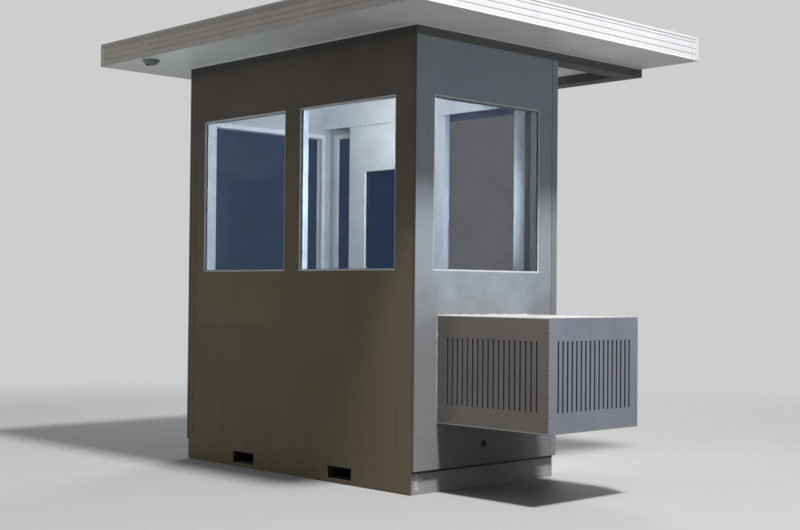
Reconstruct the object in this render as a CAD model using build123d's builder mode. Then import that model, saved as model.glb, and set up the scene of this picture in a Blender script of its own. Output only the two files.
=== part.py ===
from build123d import *
import math
import os

os.makedirs("parts", exist_ok=True)

# Security guard booth: a small sheet-metal cabin on a steel skid, with a flat roof
# that runs on past the back wall as a porch, and a slotted guard on its right end.
# +X runs to the right along the front, +Y to the back and +Z up.
# The origin is on the ground, under the middle of the cabin. All sizes are in mm.

# Cabin shell
front_width = 2100        # front wall, between its two visible ends
cabin_depth = 1198        # from the front wall's face to the back wall's face
front_wall_thick = 60
back_wall_thick = 38
end_wall = 68             # end walls, with the lip
end_lip = 18              # the end panels stand this far past the front wall's ends
corner_leg = 52           # face width of the corner posts
roof_gap = 100            # from the ceiling's underside up to the soffit's
ceiling_thick = 12
end_panel_gap = 130       # the end panels stop this far above the ground
skirt_gap = 5             # the front and back skirts clear the ground by this
skirt = 6                 # sheet that covers the skid at the front and back

# Skid
rail_height = 130
rail_width = 80
rail_sheet = 8
rail_inset = 24           # the skid's ends lie this far inside the end panels
floor_thick = 20
pocket_width = 210        # clear size of a fork pocket
pocket_height = 70
pocket_floor = 25         # underside of the clear pocket above the ground
pocket_sheet = 6
pocket_spacing = 910      # between the middles of the two pockets

# Windows
window_drop = 26          # the windows' heads lie this far below the doorway's
window_rise = 974         # from sill to head
front_window_width = 835
front_window_spacing = 973
right_window_width = 900
right_window_y = -11
left_window_width = 934
left_window_y = 23
back_window_width = 730
back_window_x = -565
glass = 6
glass_depth = 12          # from the wall's face to the glass
bead_setback = 3
bead_width = 6
glass_bite = 3            # how far the glass runs in behind the bead
frame_lip = 8             # how far the frame shows inside the opening
frame_flange = 22         # how far the frame laps onto the wall indoors
flange_thick = 4

# Doorway and the sliding door in it
door_right = 804          # edge of the opening that the door closes against
doorway_width = 900
doorway_height = 2075     # above the floor
leaf_width = 932
leaf_thick = 40
leaf_floor_gap = 10
leaf_lap = 75             # the leaf's top above the doorway's head
leaf_clearance = 6        # between the leaf and the header plate
leaf_stop_gap = 5         # between the closed leaf and the post
leaf_open = 601           # how far the leaf stands open
stile_width = 160
lite_drop = 290           # the lite's top below the doorway's head
lite_height = 900
door_glass = 8
header_depth = 61         # of the track cover, from the back wall
header_lap = 30           # its lower edge above the doorway's head
header_sheet = 6
post_width = 87
guide_height = 22
sill_groove = 4
sill_groove_spacing = 10
sill_groove_depth = 2
track_width = 44
track_height = 60
track_sheet = 3
track_slot = 14
hanger_drop = 110         # from the track's underside to the leaf's top
wheel_radius = 12
wheel_width = 9
wheel_gap = 0.3           # between a wheel and the track lip it runs on
axle_radius = 4
stem_thick = 8
stem_width = 40
stem_above_axle = 10
foot_length = 120
foot_thick = 6
foot_width = 30
hanger_inset = 110        # from the leaf's edge to the middle of a hanger
pull_inset = 45
pull_bottom = 1000
pull_height = 200
pull_reach = 42
pull_width = 22
pull_thick = 6

# Roof
overhang_front = 447
overhang_right = 447
overhang_left = 405
porch_reach = 853         # roof edge behind the back wall
fascia_height = 146
fascia_thick = 20
groove_width = 9
groove_depth = 6
groove_spacing = 36
groove_count = 3
soffit_sheet = 4
roof_upstand = 10         # the fascia stands this far above the roof panel
beam_width = 130
beam_height = 55

# Slotted guard on the right end
guard_start = 175         # from the front wall's face, back along the end wall
guard_width = 753
guard_drop = 246          # its top below the window sills
guard_height = 595
guard_reach = 797
guard_sheet = 3
guard_bend = 6
slot_width = 12
slot_spacing = 37.5
slot_rise = 107           # the slots' lower ends above the guard's lower edge
slot_height = 367
front_slot_count = 17
side_slot_count = 18

# Small fittings
light_radius = 125
light_height = 36
light_chamfer = 12
fixture_side = 467        # from the roof's left edge
fixture_front = 82        # from the roof's front edge
fixture_radius = 55
fixture_plate = 14
dome_radius = 44
dome_height = 24
dome_bands = 8
grommet_y = -39
grommet_height = 245
grommet_radius = 18
grommet_reach = 9

# Places worked out from the sizes above
half_front = front_width / 2
half_depth = cabin_depth / 2
end_face = half_front + end_lip
room_x = end_face - end_wall
room_front = half_depth - front_wall_thick
room_back = half_depth - back_wall_thick
room_y = (room_back - room_front) / 2
room_length = room_front + room_back
floor_top = rail_height + floor_thick
door_head = floor_top + doorway_height
header_bottom = door_head + header_lap
leaf_top = door_head + leaf_lap
track_bottom = leaf_top + hanger_drop
ceiling_height = track_bottom + track_height
soffit_height = ceiling_height + roof_gap
wall_top = soffit_height - beam_height
window_middle = door_head - window_drop - window_rise / 2
sill_height = window_middle - window_rise / 2
guard_top = sill_height - guard_drop
guard_bottom = guard_top - guard_height
slot_middle = guard_bottom + slot_rise + slot_height / 2
door_left = door_right - doorway_width
door_middle = (door_left + door_right) / 2
pocket_middle = pocket_floor + pocket_height / 2
roof_right = half_front + overhang_right
roof_left = -half_front - overhang_left
roof_front = -half_depth - overhang_front
roof_back = half_depth + porch_reach
fixture_x = roof_left + fixture_side
fixture_y = roof_front + fixture_front


def save(piece, name):
    piece.part.label = name
    export_step(piece.part, f"parts/{name}.step")


# Skid: two end rails over the whole depth, two long rails between them with the
# fork pockets through their webs, and a middle rail from one long rail to the other
rail_half = end_face - rail_inset
rail_y = half_depth - skirt
with BuildPart() as base_cross_rails:
    for side in (-1, 1):
        with BuildSketch(Plane.XZ.offset(-rail_y)):
            with Locations((side * (rail_half - rail_width / 2), rail_height / 2)):
                Rectangle(rail_width, rail_height)
            with Locations((side * (rail_half - rail_sheet - rail_width / 2), rail_height / 2)):
                Rectangle(rail_width, rail_height - 2 * rail_sheet, mode=Mode.SUBTRACT)
        extrude(amount=2 * rail_y)
    with BuildSketch(Plane.XZ.offset(-(rail_y - rail_width))):
        with Locations((0, rail_height / 2)):
            Rectangle(rail_width, rail_height)
        with Locations((rail_sheet, rail_height / 2)):
            Rectangle(rail_width, rail_height - 2 * rail_sheet, mode=Mode.SUBTRACT)
    extrude(amount=2 * (rail_y - rail_width))
save(base_cross_rails, "base_cross_rails")

long_rail_half = rail_half - rail_width
with BuildPart() as base_long_rails:
    for side in (-1, 1):
        with BuildSketch(Plane.YZ.offset(-long_rail_half)):
            with Locations((side * (rail_y - rail_width / 2), rail_height / 2)):
                Rectangle(rail_width, rail_height)
            with Locations((side * (rail_y - rail_sheet - rail_width / 2), rail_height / 2)):
                Rectangle(rail_width, rail_height - 2 * rail_sheet, mode=Mode.SUBTRACT)
        extrude(amount=2 * long_rail_half)
    with BuildSketch(Plane.XZ.offset(-half_depth)):
        with Locations((0, pocket_middle)):
            with GridLocations(pocket_spacing, 1, 2, 1):
                Rectangle(pocket_width + 2 * pocket_sheet, pocket_height + 2 * pocket_sheet)
    extrude(amount=cabin_depth, mode=Mode.SUBTRACT)
save(base_long_rails, "base_long_rails")

for name, side in (("fork_pocket_left", -1), ("fork_pocket_right", 1)):
    with BuildPart() as fork_pocket:
        with BuildSketch(Plane.XZ.offset(-rail_y)):
            with Locations((side * pocket_spacing / 2, pocket_middle)):
                Rectangle(pocket_width + 2 * pocket_sheet, pocket_height + 2 * pocket_sheet)
                Rectangle(pocket_width, pocket_height, mode=Mode.SUBTRACT)
        extrude(amount=2 * rail_y)
    save(fork_pocket, name)

with BuildPart() as floor_plate:
    with BuildSketch(Plane.XY.offset(rail_height)):
        with Locations((0, room_y)):
            Rectangle(2 * room_x, room_length)
    extrude(amount=floor_thick)
save(floor_plate, "floor_plate")

# Front wall: a stepped panel that leaves room for the left corner post, with its
# skirt down to the ground, two windows and the mouths of the fork pockets
with BuildPart() as front_wall:
    with BuildSketch(Plane.XY.offset(rail_height)):
        with BuildLine():
            Polyline(
                (-half_front + corner_leg, -half_depth),
                (half_front, -half_depth),
                (half_front, -room_front),
                (-half_front, -room_front),
                (-half_front, -half_depth + corner_leg),
                (-half_front + corner_leg, -half_depth + corner_leg),
                close=True,
            )
        make_face()
    extrude(amount=wall_top - rail_height)
    with BuildSketch(Plane.XY.offset(skirt_gap)):
        with Locations((0, -half_depth + skirt / 2)):
            Rectangle(front_width, skirt)
    extrude(amount=rail_height - skirt_gap)
    with BuildSketch(Plane.XZ.offset(half_depth)):
        with Locations((0, window_middle)):
            with GridLocations(front_window_spacing, 1, 2, 1):
                Rectangle(front_window_width, window_rise)
        with Locations((0, pocket_middle)):
            with GridLocations(pocket_spacing, 1, 2, 1):
                Rectangle(pocket_width, pocket_height)
    extrude(amount=-front_wall_thick, mode=Mode.SUBTRACT)
save(front_wall, "front_wall")

# End walls: thick panels with a lip that laps the front wall's ends. They stop
# above the ground, and the skid shows below them.
for name, side, window_y, window_width in (
    ("left_wall", -1, left_window_y, left_window_width),
    ("right_wall", 1, right_window_y, right_window_width),
):
    with BuildPart() as end_panel:
        with BuildSketch(Plane.XY.offset(end_panel_gap)):
            with BuildLine():
                Polyline(
                    (side * room_x, -room_front),
                    (side * half_front, -room_front),
                    (side * half_front, -half_depth),
                    (side * end_face, -half_depth),
                    (side * end_face, half_depth - corner_leg),
                    (side * (end_face - corner_leg), half_depth - corner_leg),
                    (side * (end_face - corner_leg), room_back),
                    (side * room_x, room_back),
                    close=True,
                )
            make_face()
        extrude(amount=wall_top - end_panel_gap)
        with BuildSketch(Plane.YZ.offset(side * end_face)):
            with Locations((window_y, window_middle)):
                Rectangle(window_width, window_rise)
        extrude(amount=-side * end_wall, mode=Mode.SUBTRACT)
    save(end_panel, name)

# Back wall, in four pieces around the doorway
for name, side, inner_end in (
    ("back_wall_left", -1, -door_left),
    ("back_wall_right", 1, door_right),
):
    with BuildPart() as back_panel:
        outer_end = end_face - corner_leg
        with BuildSketch(Plane.XY.offset(rail_height)):
            with Locations((side * (inner_end + outer_end) / 2, half_depth - back_wall_thick / 2)):
                Rectangle(outer_end - inner_end, back_wall_thick)
        extrude(amount=wall_top - rail_height)
        with BuildSketch(Plane.XY.offset(skirt_gap)):
            with Locations((side * (inner_end + outer_end) / 2, half_depth - skirt / 2)):
                Rectangle(outer_end - inner_end, skirt)
        extrude(amount=rail_height - skirt_gap)
        if side < 0:
            with BuildSketch(Plane.XZ.offset(-half_depth)):
                with Locations((back_window_x, window_middle)):
                    Rectangle(back_window_width, window_rise)
                with Locations((-pocket_spacing / 2, pocket_middle)):
                    Rectangle(pocket_width, pocket_height)
            extrude(amount=back_wall_thick, mode=Mode.SUBTRACT)
    save(back_panel, name)

with BuildPart() as back_wall_over_door:
    with BuildSketch(Plane.XY.offset(door_head)):
        with Locations((door_middle, half_depth - back_wall_thick / 2)):
            Rectangle(doorway_width, back_wall_thick)
    extrude(amount=wall_top - door_head)
save(back_wall_over_door, "back_wall_over_door")

with BuildPart() as back_wall_under_door:
    with BuildSketch(Plane.XZ.offset(-half_depth)):
        with Locations((door_middle, (skirt_gap + rail_height) / 2)):
            Rectangle(doorway_width, rail_height - skirt_gap)
        with Locations((pocket_spacing / 2, pocket_middle)):
            Rectangle(pocket_width, pocket_height, mode=Mode.SUBTRACT)
    extrude(amount=skirt)
save(back_wall_under_door, "back_wall_under_door")

# Corner posts at the front left and at both back corners
with BuildPart() as corner_posts:
    with BuildSketch(Plane.XY.offset(end_panel_gap)):
        with Locations((-half_front + corner_leg / 2, -half_depth + corner_leg / 2)):
            Rectangle(corner_leg, corner_leg)
        with Locations((0, half_depth - corner_leg / 2)):
            with GridLocations(2 * end_face - corner_leg, 1, 2, 1):
                Rectangle(corner_leg, corner_leg)
    extrude(amount=wall_top - end_panel_gap)
save(corner_posts, "corner_posts")

# Windows: a frame ring with the glass behind an outside bead
front_window_x = front_window_spacing / 2
window_sides = (
    ("front_left_window", (-front_window_x, -half_depth), (0, -1), front_window_width, front_wall_thick),
    ("front_right_window", (front_window_x, -half_depth), (0, -1), front_window_width, front_wall_thick),
    ("right_window", (end_face, right_window_y), (1, 0), right_window_width, end_wall),
    ("left_window", (-end_face, left_window_y), (-1, 0), left_window_width, end_wall),
    ("back_window", (back_window_x, half_depth), (0, 1), back_window_width, back_wall_thick),
)
for name, middle, outward, width, thick in window_sides:
    face = Plane(
        origin=(middle[0], middle[1], window_middle),
        x_dir=(-outward[1], outward[0], 0),
        z_dir=(outward[0], outward[1], 0),
    )
    rings = (
        (bead_setback, glass_depth, 0, bead_width),
        (glass_depth, glass_depth + glass, 0, bead_width - glass_bite),
        (glass_depth + glass, thick, 0, frame_lip),
        (thick, thick + flange_thick, frame_flange, frame_lip),
    )
    with BuildPart() as window_frame:
        for start, stop, outside, inside in rings:
            with BuildSketch(face.offset(-start)):
                Rectangle(width + 2 * outside, window_rise + 2 * outside)
                Rectangle(width - 2 * inside, window_rise - 2 * inside, mode=Mode.SUBTRACT)
            extrude(amount=start - stop)
    save(window_frame, f"{name}_frame")

    pane_inset = bead_width - glass_bite
    with BuildPart() as window_pane:
        with BuildSketch(face.offset(-glass_depth)):
            Rectangle(width - 2 * pane_inset, window_rise - 2 * pane_inset)
        extrude(amount=-glass)
    save(window_pane, f"{name}_pane")

# Eave beams under the roof: a rectangle around the room and the porch
with BuildPart() as eave_side_beams:
    with BuildSketch(Plane.XY.offset(wall_top)):
        with Locations((0, (roof_back - half_depth) / 2)):
            with GridLocations(2 * end_face - beam_width, 1, 2, 1):
                Rectangle(beam_width, roof_back + half_depth)
    extrude(amount=beam_height)
save(eave_side_beams, "eave_side_beams")

with BuildPart() as eave_cross_beams:
    with BuildSketch(Plane.XY.offset(wall_top)):
        for beam_y in (
            -half_depth + beam_width / 2,
            half_depth - beam_width / 2,
            roof_back - beam_width / 2,
        ):
            with Locations((0, beam_y)):
                Rectangle(2 * (end_face - beam_width), beam_width)
    extrude(amount=beam_height)
save(eave_cross_beams, "eave_cross_beams")

# Roof: soffit sheet, roof panel and a grooved fascia mitred at the corners
roof_width = roof_right - roof_left
roof_length = roof_back - roof_front
roof_middle = ((roof_left + roof_right) / 2, (roof_front + roof_back) / 2)
with BuildPart() as soffit_panel:
    with BuildSketch(Plane.XY.offset(soffit_height)):
        with Locations(roof_middle):
            Rectangle(roof_width - 2 * fascia_thick, roof_length - 2 * fascia_thick)
    extrude(amount=soffit_sheet)
save(soffit_panel, "soffit_panel")

with BuildPart() as roof_panel:
    with BuildSketch(Plane.XY.offset(soffit_height + soffit_sheet)):
        with Locations(roof_middle):
            Rectangle(roof_width - 2 * fascia_thick, roof_length - 2 * fascia_thick)
    extrude(amount=fascia_height - soffit_sheet - roof_upstand)
save(roof_panel, "roof_panel")

fascia_sides = (
    ("fascia_front", (roof_middle[0], roof_front), (0, -1), roof_width),
    ("fascia_back", (roof_middle[0], roof_back), (0, 1), roof_width),
    ("fascia_left", (roof_left, roof_middle[1]), (-1, 0), roof_length),
    ("fascia_right", (roof_right, roof_middle[1]), (1, 0), roof_length),
)
for name, middle, outward, run in fascia_sides:
    face = Plane(
        origin=(middle[0], middle[1], soffit_height),
        x_dir=(-outward[1], outward[0], 0),
        z_dir=(outward[0], outward[1], 0),
    )
    top_plan = Plane(origin=face.origin, x_dir=face.x_dir, z_dir=(0, 0, 1))
    with BuildPart() as fascia:
        with BuildSketch(top_plan):
            with BuildLine():
                Polyline(
                    (-run / 2, 0),
                    (run / 2, 0),
                    (run / 2 - fascia_thick, fascia_thick),
                    (-run / 2 + fascia_thick, fascia_thick),
                    close=True,
                )
            make_face()
        extrude(amount=fascia_height)
        with BuildSketch(face):
            with Locations((0, fascia_height / 2)):
                with GridLocations(1, groove_spacing, 1, groove_count):
                    Rectangle(run, groove_width)
        extrude(amount=-groove_depth, mode=Mode.SUBTRACT)
    save(fascia, name)

# Ceiling and its round light
with BuildPart() as ceiling_panel:
    with BuildSketch(Plane.XY.offset(ceiling_height)):
        with Locations((0, room_y)):
            Rectangle(2 * room_x, room_length)
    extrude(amount=ceiling_thick)
save(ceiling_panel, "ceiling_panel")

with BuildPart() as ceiling_light:
    with BuildSketch(Plane.XY.offset(ceiling_height)):
        Circle(light_radius)
    extrude(amount=-light_height)
    chamfer(ceiling_light.edges().group_by(Axis.Z)[0], light_chamfer)
save(ceiling_light, "ceiling_light")

# Track cover, track, post, floor guide and sill of the sliding door
header_y = room_back - header_depth
with BuildPart() as door_header:
    with BuildSketch(Plane.XY.offset(header_bottom)):
        with Locations((0, header_y + header_sheet / 2)):
            Rectangle(2 * room_x, header_sheet)
    extrude(amount=ceiling_height - header_bottom)
save(door_header, "door_header")

leaf_y = header_y + header_sheet + leaf_clearance + leaf_thick / 2
with BuildPart() as door_track:
    with BuildSketch(Plane.YZ.offset(-room_x)):
        with Locations((leaf_y, ceiling_height - track_height / 2)):
            Rectangle(track_width, track_height)
            Rectangle(track_width - 2 * track_sheet, track_height - 2 * track_sheet, mode=Mode.SUBTRACT)
        with Locations((leaf_y, track_bottom)):
            Rectangle(track_slot, 3 * track_sheet, mode=Mode.SUBTRACT)
    extrude(amount=2 * room_x)
save(door_track, "door_track")

with BuildPart() as door_post:
    with BuildSketch(Plane.XY.offset(floor_top)):
        with Locations((door_right + post_width / 2, room_back - header_depth / 2)):
            Rectangle(post_width, header_depth)
    extrude(amount=header_bottom - floor_top)
save(door_post, "door_post")

with BuildPart() as door_guide:
    with BuildSketch(Plane.XY.offset(floor_top)):
        with Locations(((door_right - room_x) / 2, header_y + header_sheet / 2)):
            Rectangle(door_right + room_x, header_sheet)
    extrude(amount=guide_height)
save(door_guide, "door_guide")

with BuildPart() as door_sill:
    with BuildSketch(Plane.XY.offset(rail_height)):
        with Locations((door_middle, half_depth - back_wall_thick / 2)):
            Rectangle(doorway_width, back_wall_thick)
    extrude(amount=floor_thick)
    with BuildSketch(Plane.XY.offset(floor_top)):
        with Locations((door_middle, half_depth - back_wall_thick / 2)):
            with GridLocations(1, sill_groove_spacing, 1, 3):
                Rectangle(doorway_width, sill_groove)
    extrude(amount=-sill_groove_depth, mode=Mode.SUBTRACT)
save(door_sill, "door_sill")

# Door leaf, where it stands open, with its glass, hangers and pull
leaf_right = door_right - leaf_stop_gap - leaf_open
leaf_x = leaf_right - leaf_width / 2
leaf_bottom = floor_top + leaf_floor_gap
lite_width = leaf_width - 2 * stile_width
lite_middle = door_head - lite_drop - lite_height / 2
with BuildPart() as door_leaf:
    with BuildSketch(Plane.XY.offset(leaf_bottom)):
        with Locations((leaf_x, leaf_y)):
            Rectangle(leaf_width, leaf_thick)
    extrude(amount=leaf_top - leaf_bottom)
    with BuildSketch(Plane.XZ.offset(-leaf_y)):
        with Locations((leaf_x, lite_middle)):
            Rectangle(lite_width, lite_height)
    extrude(amount=leaf_thick, both=True, mode=Mode.SUBTRACT)
save(door_leaf, "door_leaf")

with BuildPart() as door_pane:
    with BuildSketch(Plane.XZ.offset(-leaf_y)):
        with Locations((leaf_x, lite_middle)):
            Rectangle(lite_width, lite_height)
    extrude(amount=door_glass / 2, both=True)
save(door_pane, "door_pane")

axle_height = track_bottom + track_sheet + wheel_gap + wheel_radius
wheel_offset = track_slot / 2 + 1 + wheel_width / 2
with BuildPart() as door_hangers:
    for side in (-1, 1):
        hanger_x = leaf_x + side * (leaf_width / 2 - hanger_inset)
        with BuildSketch(Plane.XY.offset(leaf_top)):
            with Locations((hanger_x, leaf_y)):
                Rectangle(foot_length, foot_width)
        extrude(amount=foot_thick)
        with BuildSketch(Plane.XY.offset(leaf_top)):
            with Locations((hanger_x, leaf_y)):
                Rectangle(stem_width, stem_thick)
        extrude(amount=axle_height + stem_above_axle - leaf_top)
        with BuildSketch(Plane.XZ.offset(-leaf_y)):
            with Locations((hanger_x, axle_height)):
                Circle(axle_radius)
        extrude(amount=wheel_offset, both=True)
        for wheel_side in (-1, 1):
            wheel_start = leaf_y + wheel_side * (wheel_offset - wheel_width / 2)
            with BuildSketch(Plane.XZ.offset(-wheel_start)):
                with Locations((hanger_x, axle_height)):
                    Circle(wheel_radius)
            extrude(amount=-wheel_side * wheel_width)
save(door_hangers, "door_hangers")

leaf_face = leaf_y - leaf_thick / 2
pull_x = leaf_right - pull_inset
pull_inner = pull_reach - pull_thick
with BuildPart() as door_pull:
    with BuildSketch(Plane.YZ.offset(pull_x - pull_width / 2)):
        with Locations((leaf_face - pull_reach / 2, pull_bottom + pull_height / 2)):
            Rectangle(pull_reach, pull_height)
        with Locations((leaf_face - pull_inner / 2, pull_bottom + pull_height / 2)):
            Rectangle(pull_inner, pull_height - 2 * pull_thick, mode=Mode.SUBTRACT)
    extrude(amount=pull_width)
    chamfer(door_pull.edges().filter_by(Axis.X).group_by(Axis.Y)[0], pull_thick / 2)
save(door_pull, "door_pull")

# Slotted guard: a bent shell with a slotted side each way, and a slotted front.
# It is open underneath.
guard_y = -half_depth + guard_start + guard_width / 2
guard_face = end_face + guard_reach
guard_middle = (guard_bottom + guard_top) / 2
shell_reach = guard_reach - guard_sheet
with BuildPart() as guard_shell:
    with BuildSketch(Plane.YZ.offset(end_face)):
        with Locations((guard_y, guard_middle)):
            Rectangle(guard_width, guard_top - guard_bottom)
    extrude(amount=shell_reach)
    fillet(guard_shell.edges().filter_by(Axis.X).group_by(Axis.Z)[-1], guard_bend)
    with BuildSketch(Plane.YZ.offset(end_face)):
        with Locations((guard_y, guard_middle - guard_sheet)):
            inner = Rectangle(guard_width - 2 * guard_sheet, guard_top - guard_bottom)
        fillet(inner.vertices().group_by(Axis.Z)[-1], guard_bend - guard_sheet)
    extrude(amount=shell_reach, mode=Mode.SUBTRACT)
    with BuildSketch(Plane.XZ.offset(-(guard_y + guard_width / 2))):
        with Locations((end_face + shell_reach / 2, slot_middle)):
            with GridLocations(slot_spacing, 1, side_slot_count, 1):
                Rectangle(slot_width, slot_height)
    extrude(amount=guard_width, mode=Mode.SUBTRACT)
save(guard_shell, "guard_shell")

with BuildPart() as guard_front:
    with BuildSketch(Plane.YZ.offset(guard_face - guard_sheet)):
        with Locations((guard_y, guard_middle)):
            Rectangle(guard_width, guard_top - guard_bottom)
        with Locations((guard_y, slot_middle)):
            with GridLocations(slot_spacing, 1, front_slot_count, 1):
                Rectangle(slot_width, slot_height, mode=Mode.SUBTRACT)
    extrude(amount=guard_sheet)
save(guard_front, "guard_front")

# Small fittings: the domed fixture under the front overhang and a grommet
with BuildPart() as soffit_fixture:
    with BuildSketch(Plane.XY.offset(soffit_height)):
        with Locations((fixture_x, fixture_y)):
            Circle(fixture_radius)
    extrude(amount=-fixture_plate)
    dome_base = soffit_height - fixture_plate
    angles = [math.pi / 2 * band / dome_bands for band in range(dome_bands + 1)]
    dome_edge = [
        (fixture_x + dome_radius * math.cos(angle), dome_base - dome_height * math.sin(angle))
        for angle in angles
    ]
    with BuildSketch(Plane.XZ.offset(-fixture_y)):
        with BuildLine():
            Polyline((fixture_x, dome_base), *dome_edge, close=True)
        make_face()
    revolve(axis=Axis((fixture_x, fixture_y, 0), (0, 0, 1)))
save(soffit_fixture, "soffit_fixture")

with BuildPart() as wall_grommet:
    with BuildSketch(Plane.YZ.offset(end_face)):
        with Locations((grommet_y, grommet_height)):
            Circle(grommet_radius)
    extrude(amount=grommet_reach)
    chamfer(wall_grommet.edges().group_by(Axis.X)[-1], grommet_reach / 2)
save(wall_grommet, "wall_grommet")
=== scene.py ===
import math

import bmesh
import bpy
import numpy as np
from mathutils import Matrix, Vector


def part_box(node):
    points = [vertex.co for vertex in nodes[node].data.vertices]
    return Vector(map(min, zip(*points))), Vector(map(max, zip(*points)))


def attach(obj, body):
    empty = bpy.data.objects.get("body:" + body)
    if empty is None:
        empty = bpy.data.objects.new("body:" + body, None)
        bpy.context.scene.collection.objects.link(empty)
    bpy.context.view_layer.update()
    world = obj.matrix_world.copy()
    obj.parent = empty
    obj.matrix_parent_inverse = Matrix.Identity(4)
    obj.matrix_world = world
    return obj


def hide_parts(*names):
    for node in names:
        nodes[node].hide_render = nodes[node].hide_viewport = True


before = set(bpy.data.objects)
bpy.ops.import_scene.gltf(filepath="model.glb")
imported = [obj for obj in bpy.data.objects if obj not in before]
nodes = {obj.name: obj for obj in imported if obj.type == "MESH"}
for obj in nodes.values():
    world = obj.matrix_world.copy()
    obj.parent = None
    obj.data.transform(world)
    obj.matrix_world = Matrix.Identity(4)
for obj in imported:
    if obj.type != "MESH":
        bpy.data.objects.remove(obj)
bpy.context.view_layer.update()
print("frame loaded:", len(nodes), "nodes")

# Lengths are in metres. +X runs along the front wall, +Y to the door, +Z up.


# places read from the frame

def boxOf(node):
    low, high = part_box(node)
    return np.array(low), np.array(high)


frontLow, frontHigh = boxOf("front_wall")
rightLow, rightHigh = boxOf("right_wall")
backLow, backHigh = boxOf("back_wall_left")
roofFront, roofBack = boxOf("fascia_front")[0][1], boxOf("fascia_back")[1][1]
roofLeft, roofRight = boxOf("fascia_left")[0][0], boxOf("fascia_right")[1][0]
roofTop, soffitZ = boxOf("fascia_front")[1][2], boxOf("soffit_panel")[0][2]
guardLow, guardHigh = boxOf("guard_front")
leafLow, leafHigh = boxOf("door_leaf")
floorTop = boxOf("floor_plate")[1][2]
ceilingZ = boxOf("ceiling_panel")[0][2]
endFace = rightHigh[0]
frontFace, backFace = frontLow[1], backHigh[1]
roomX, roomFront, roomBack = rightLow[0], -frontHigh[1], backLow[1]
wallTop = frontHigh[2]
across, along, upward = np.eye(3)


# colours and small node helpers

def linear(red, green, blue):
    # a display value from 0 to 255 becomes the linear value that a shader takes
    shown = np.array((red, green, blue)) / 255
    made = np.where(shown <= 0.04045, shown / 12.92, ((shown + 0.055) / 1.055) ** 2.4)
    return (*made.tolist(), 1.0)


def shifted(shade, step):
    return tuple(min(255, max(0, value + step)) for value in shade)


def setInputs(tree, node, inputs):
    # a socket is linked, anything else becomes the input's own value
    for key, value in inputs.items():
        if isinstance(value, bpy.types.NodeSocket):
            tree.links.new(value, node.inputs[key])
        else:
            node.inputs[key].default_value = value
    return node


def addNode(tree, kind, inputs=None, **settings):
    node = tree.nodes.new(kind)
    for key, value in settings.items():
        setattr(node, key, value)
    return setInputs(tree, node, inputs or {})


def placeGroup(tree, group, inputs=None):
    node = tree.nodes.new("ShaderNodeGroup")
    node.node_tree = group
    return setInputs(tree, node, inputs or {}).outputs


def mathOf(tree, operation, first, second=0.0, clamp=False):
    inputs = {0: first, 1: second}
    return addNode(tree, "ShaderNodeMath", inputs, operation=operation, use_clamp=clamp).outputs[0]


def times(tree, first, second, clamp=False):
    return mathOf(tree, "MULTIPLY", first, second, clamp)


def plus(tree, first, second, clamp=False):
    return mathOf(tree, "ADD", first, second, clamp)


def spread(tree, value, low, high, outLow=0.0, outHigh=1.0):
    # values from low to high become outLow to outHigh, held at the ends
    inputs = {"Value": value, "From Min": low, "From Max": high, "To Min": outLow,
              "To Max": outHigh}
    return addNode(tree, "ShaderNodeMapRange", inputs, clamp=True).outputs[0]


def mixColour(tree, factor, first, second):
    inputs = {0: factor, 6: first, 7: second}
    return addNode(tree, "ShaderNodeMix", inputs, data_type="RGBA").outputs[2]


def mixShades(tree, factor, first, second):
    return mixColour(tree, factor, linear(*first), linear(*second))


def coated(tree, colour, mask, share, shade):
    # the shade laid over the colour where the mask is, up to the share
    return mixColour(tree, times(tree, mask, share), colour, linear(*shade))


def noiseOf(tree, vector, scale, detail=3.0, rough=0.5, distortion=0.0):
    inputs = {"Vector": vector, "Scale": scale, "Detail": detail, "Roughness": rough,
              "Distortion": distortion}
    return addNode(tree, "ShaderNodeTexNoise", inputs).outputs[0]


def stretched(tree, vector, scale):
    return addNode(tree, "ShaderNodeMapping", {"Vector": vector, "Scale": scale}).outputs[0]


def vectorOf(tree, operation, first, second=None):
    inputs = {0: first} if second is None else {0: first, 1: second}
    return addNode(tree, "ShaderNodeVectorMath", inputs, operation=operation).outputs


def objectPlace(tree):
    return addNode(tree, "ShaderNodeTexCoord").outputs["Object"]


def faceNormal(tree):
    return addNode(tree, "ShaderNodeNewGeometry").outputs["Normal"]


def partsOf(tree, vector):
    return addNode(tree, "ShaderNodeSeparateXYZ", {0: vector}).outputs


# node groups that several finishes share

def newGroup(name, inputs, outputs, vectors=()):
    # inputs holds each label's first value, and vectors the outputs that are vectors
    group = bpy.data.node_groups.new(name, "ShaderNodeTree")
    for label, value in inputs.items():
        kind = "NodeSocketVector" if isinstance(value, tuple) else "NodeSocketFloat"
        group.interface.new_socket(label, in_out="INPUT", socket_type=kind).default_value = value
    for label in outputs:
        kind = "NodeSocketVector" if label in vectors else "NodeSocketFloat"
        group.interface.new_socket(label, in_out="OUTPUT", socket_type=kind)
    return group, group.nodes.new("NodeGroupInput").outputs, group.nodes.new("NodeGroupOutput")


weatheringAndLight = dict(
    blotchScale=1.7, blotch=(0.36, 0.64), streakStretch=(16, 16, 0.55), streak=(0.5, 0.78),
    speckleScale=38.0, speckle=(0.42, 0.68), speckleShare=0.45,
    patchScale=6.0, patch=(0.35, 0.7), patchShare=0.75,
    splashAndLightPower=1.7, footPower=3.0, footShare=0.12,
    lookingUp=(0.55, 0.95), leastDust=0.55, drift=0.12,
    # the next line places a painted patch of light low down near the right corner
    cornerFrom=(0.6, 0.95), cornerTop=1.55, cornerFade=0.35,
    # the next line places painted shade below the unit guard, where its shadow falls
    guardShadeSide=0.07, guardShadeOver=0.02, guardShadeUnder=0.03, guardShadeStreak=(0.3, 0.6), leastGuardShade=0.7,
)


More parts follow.
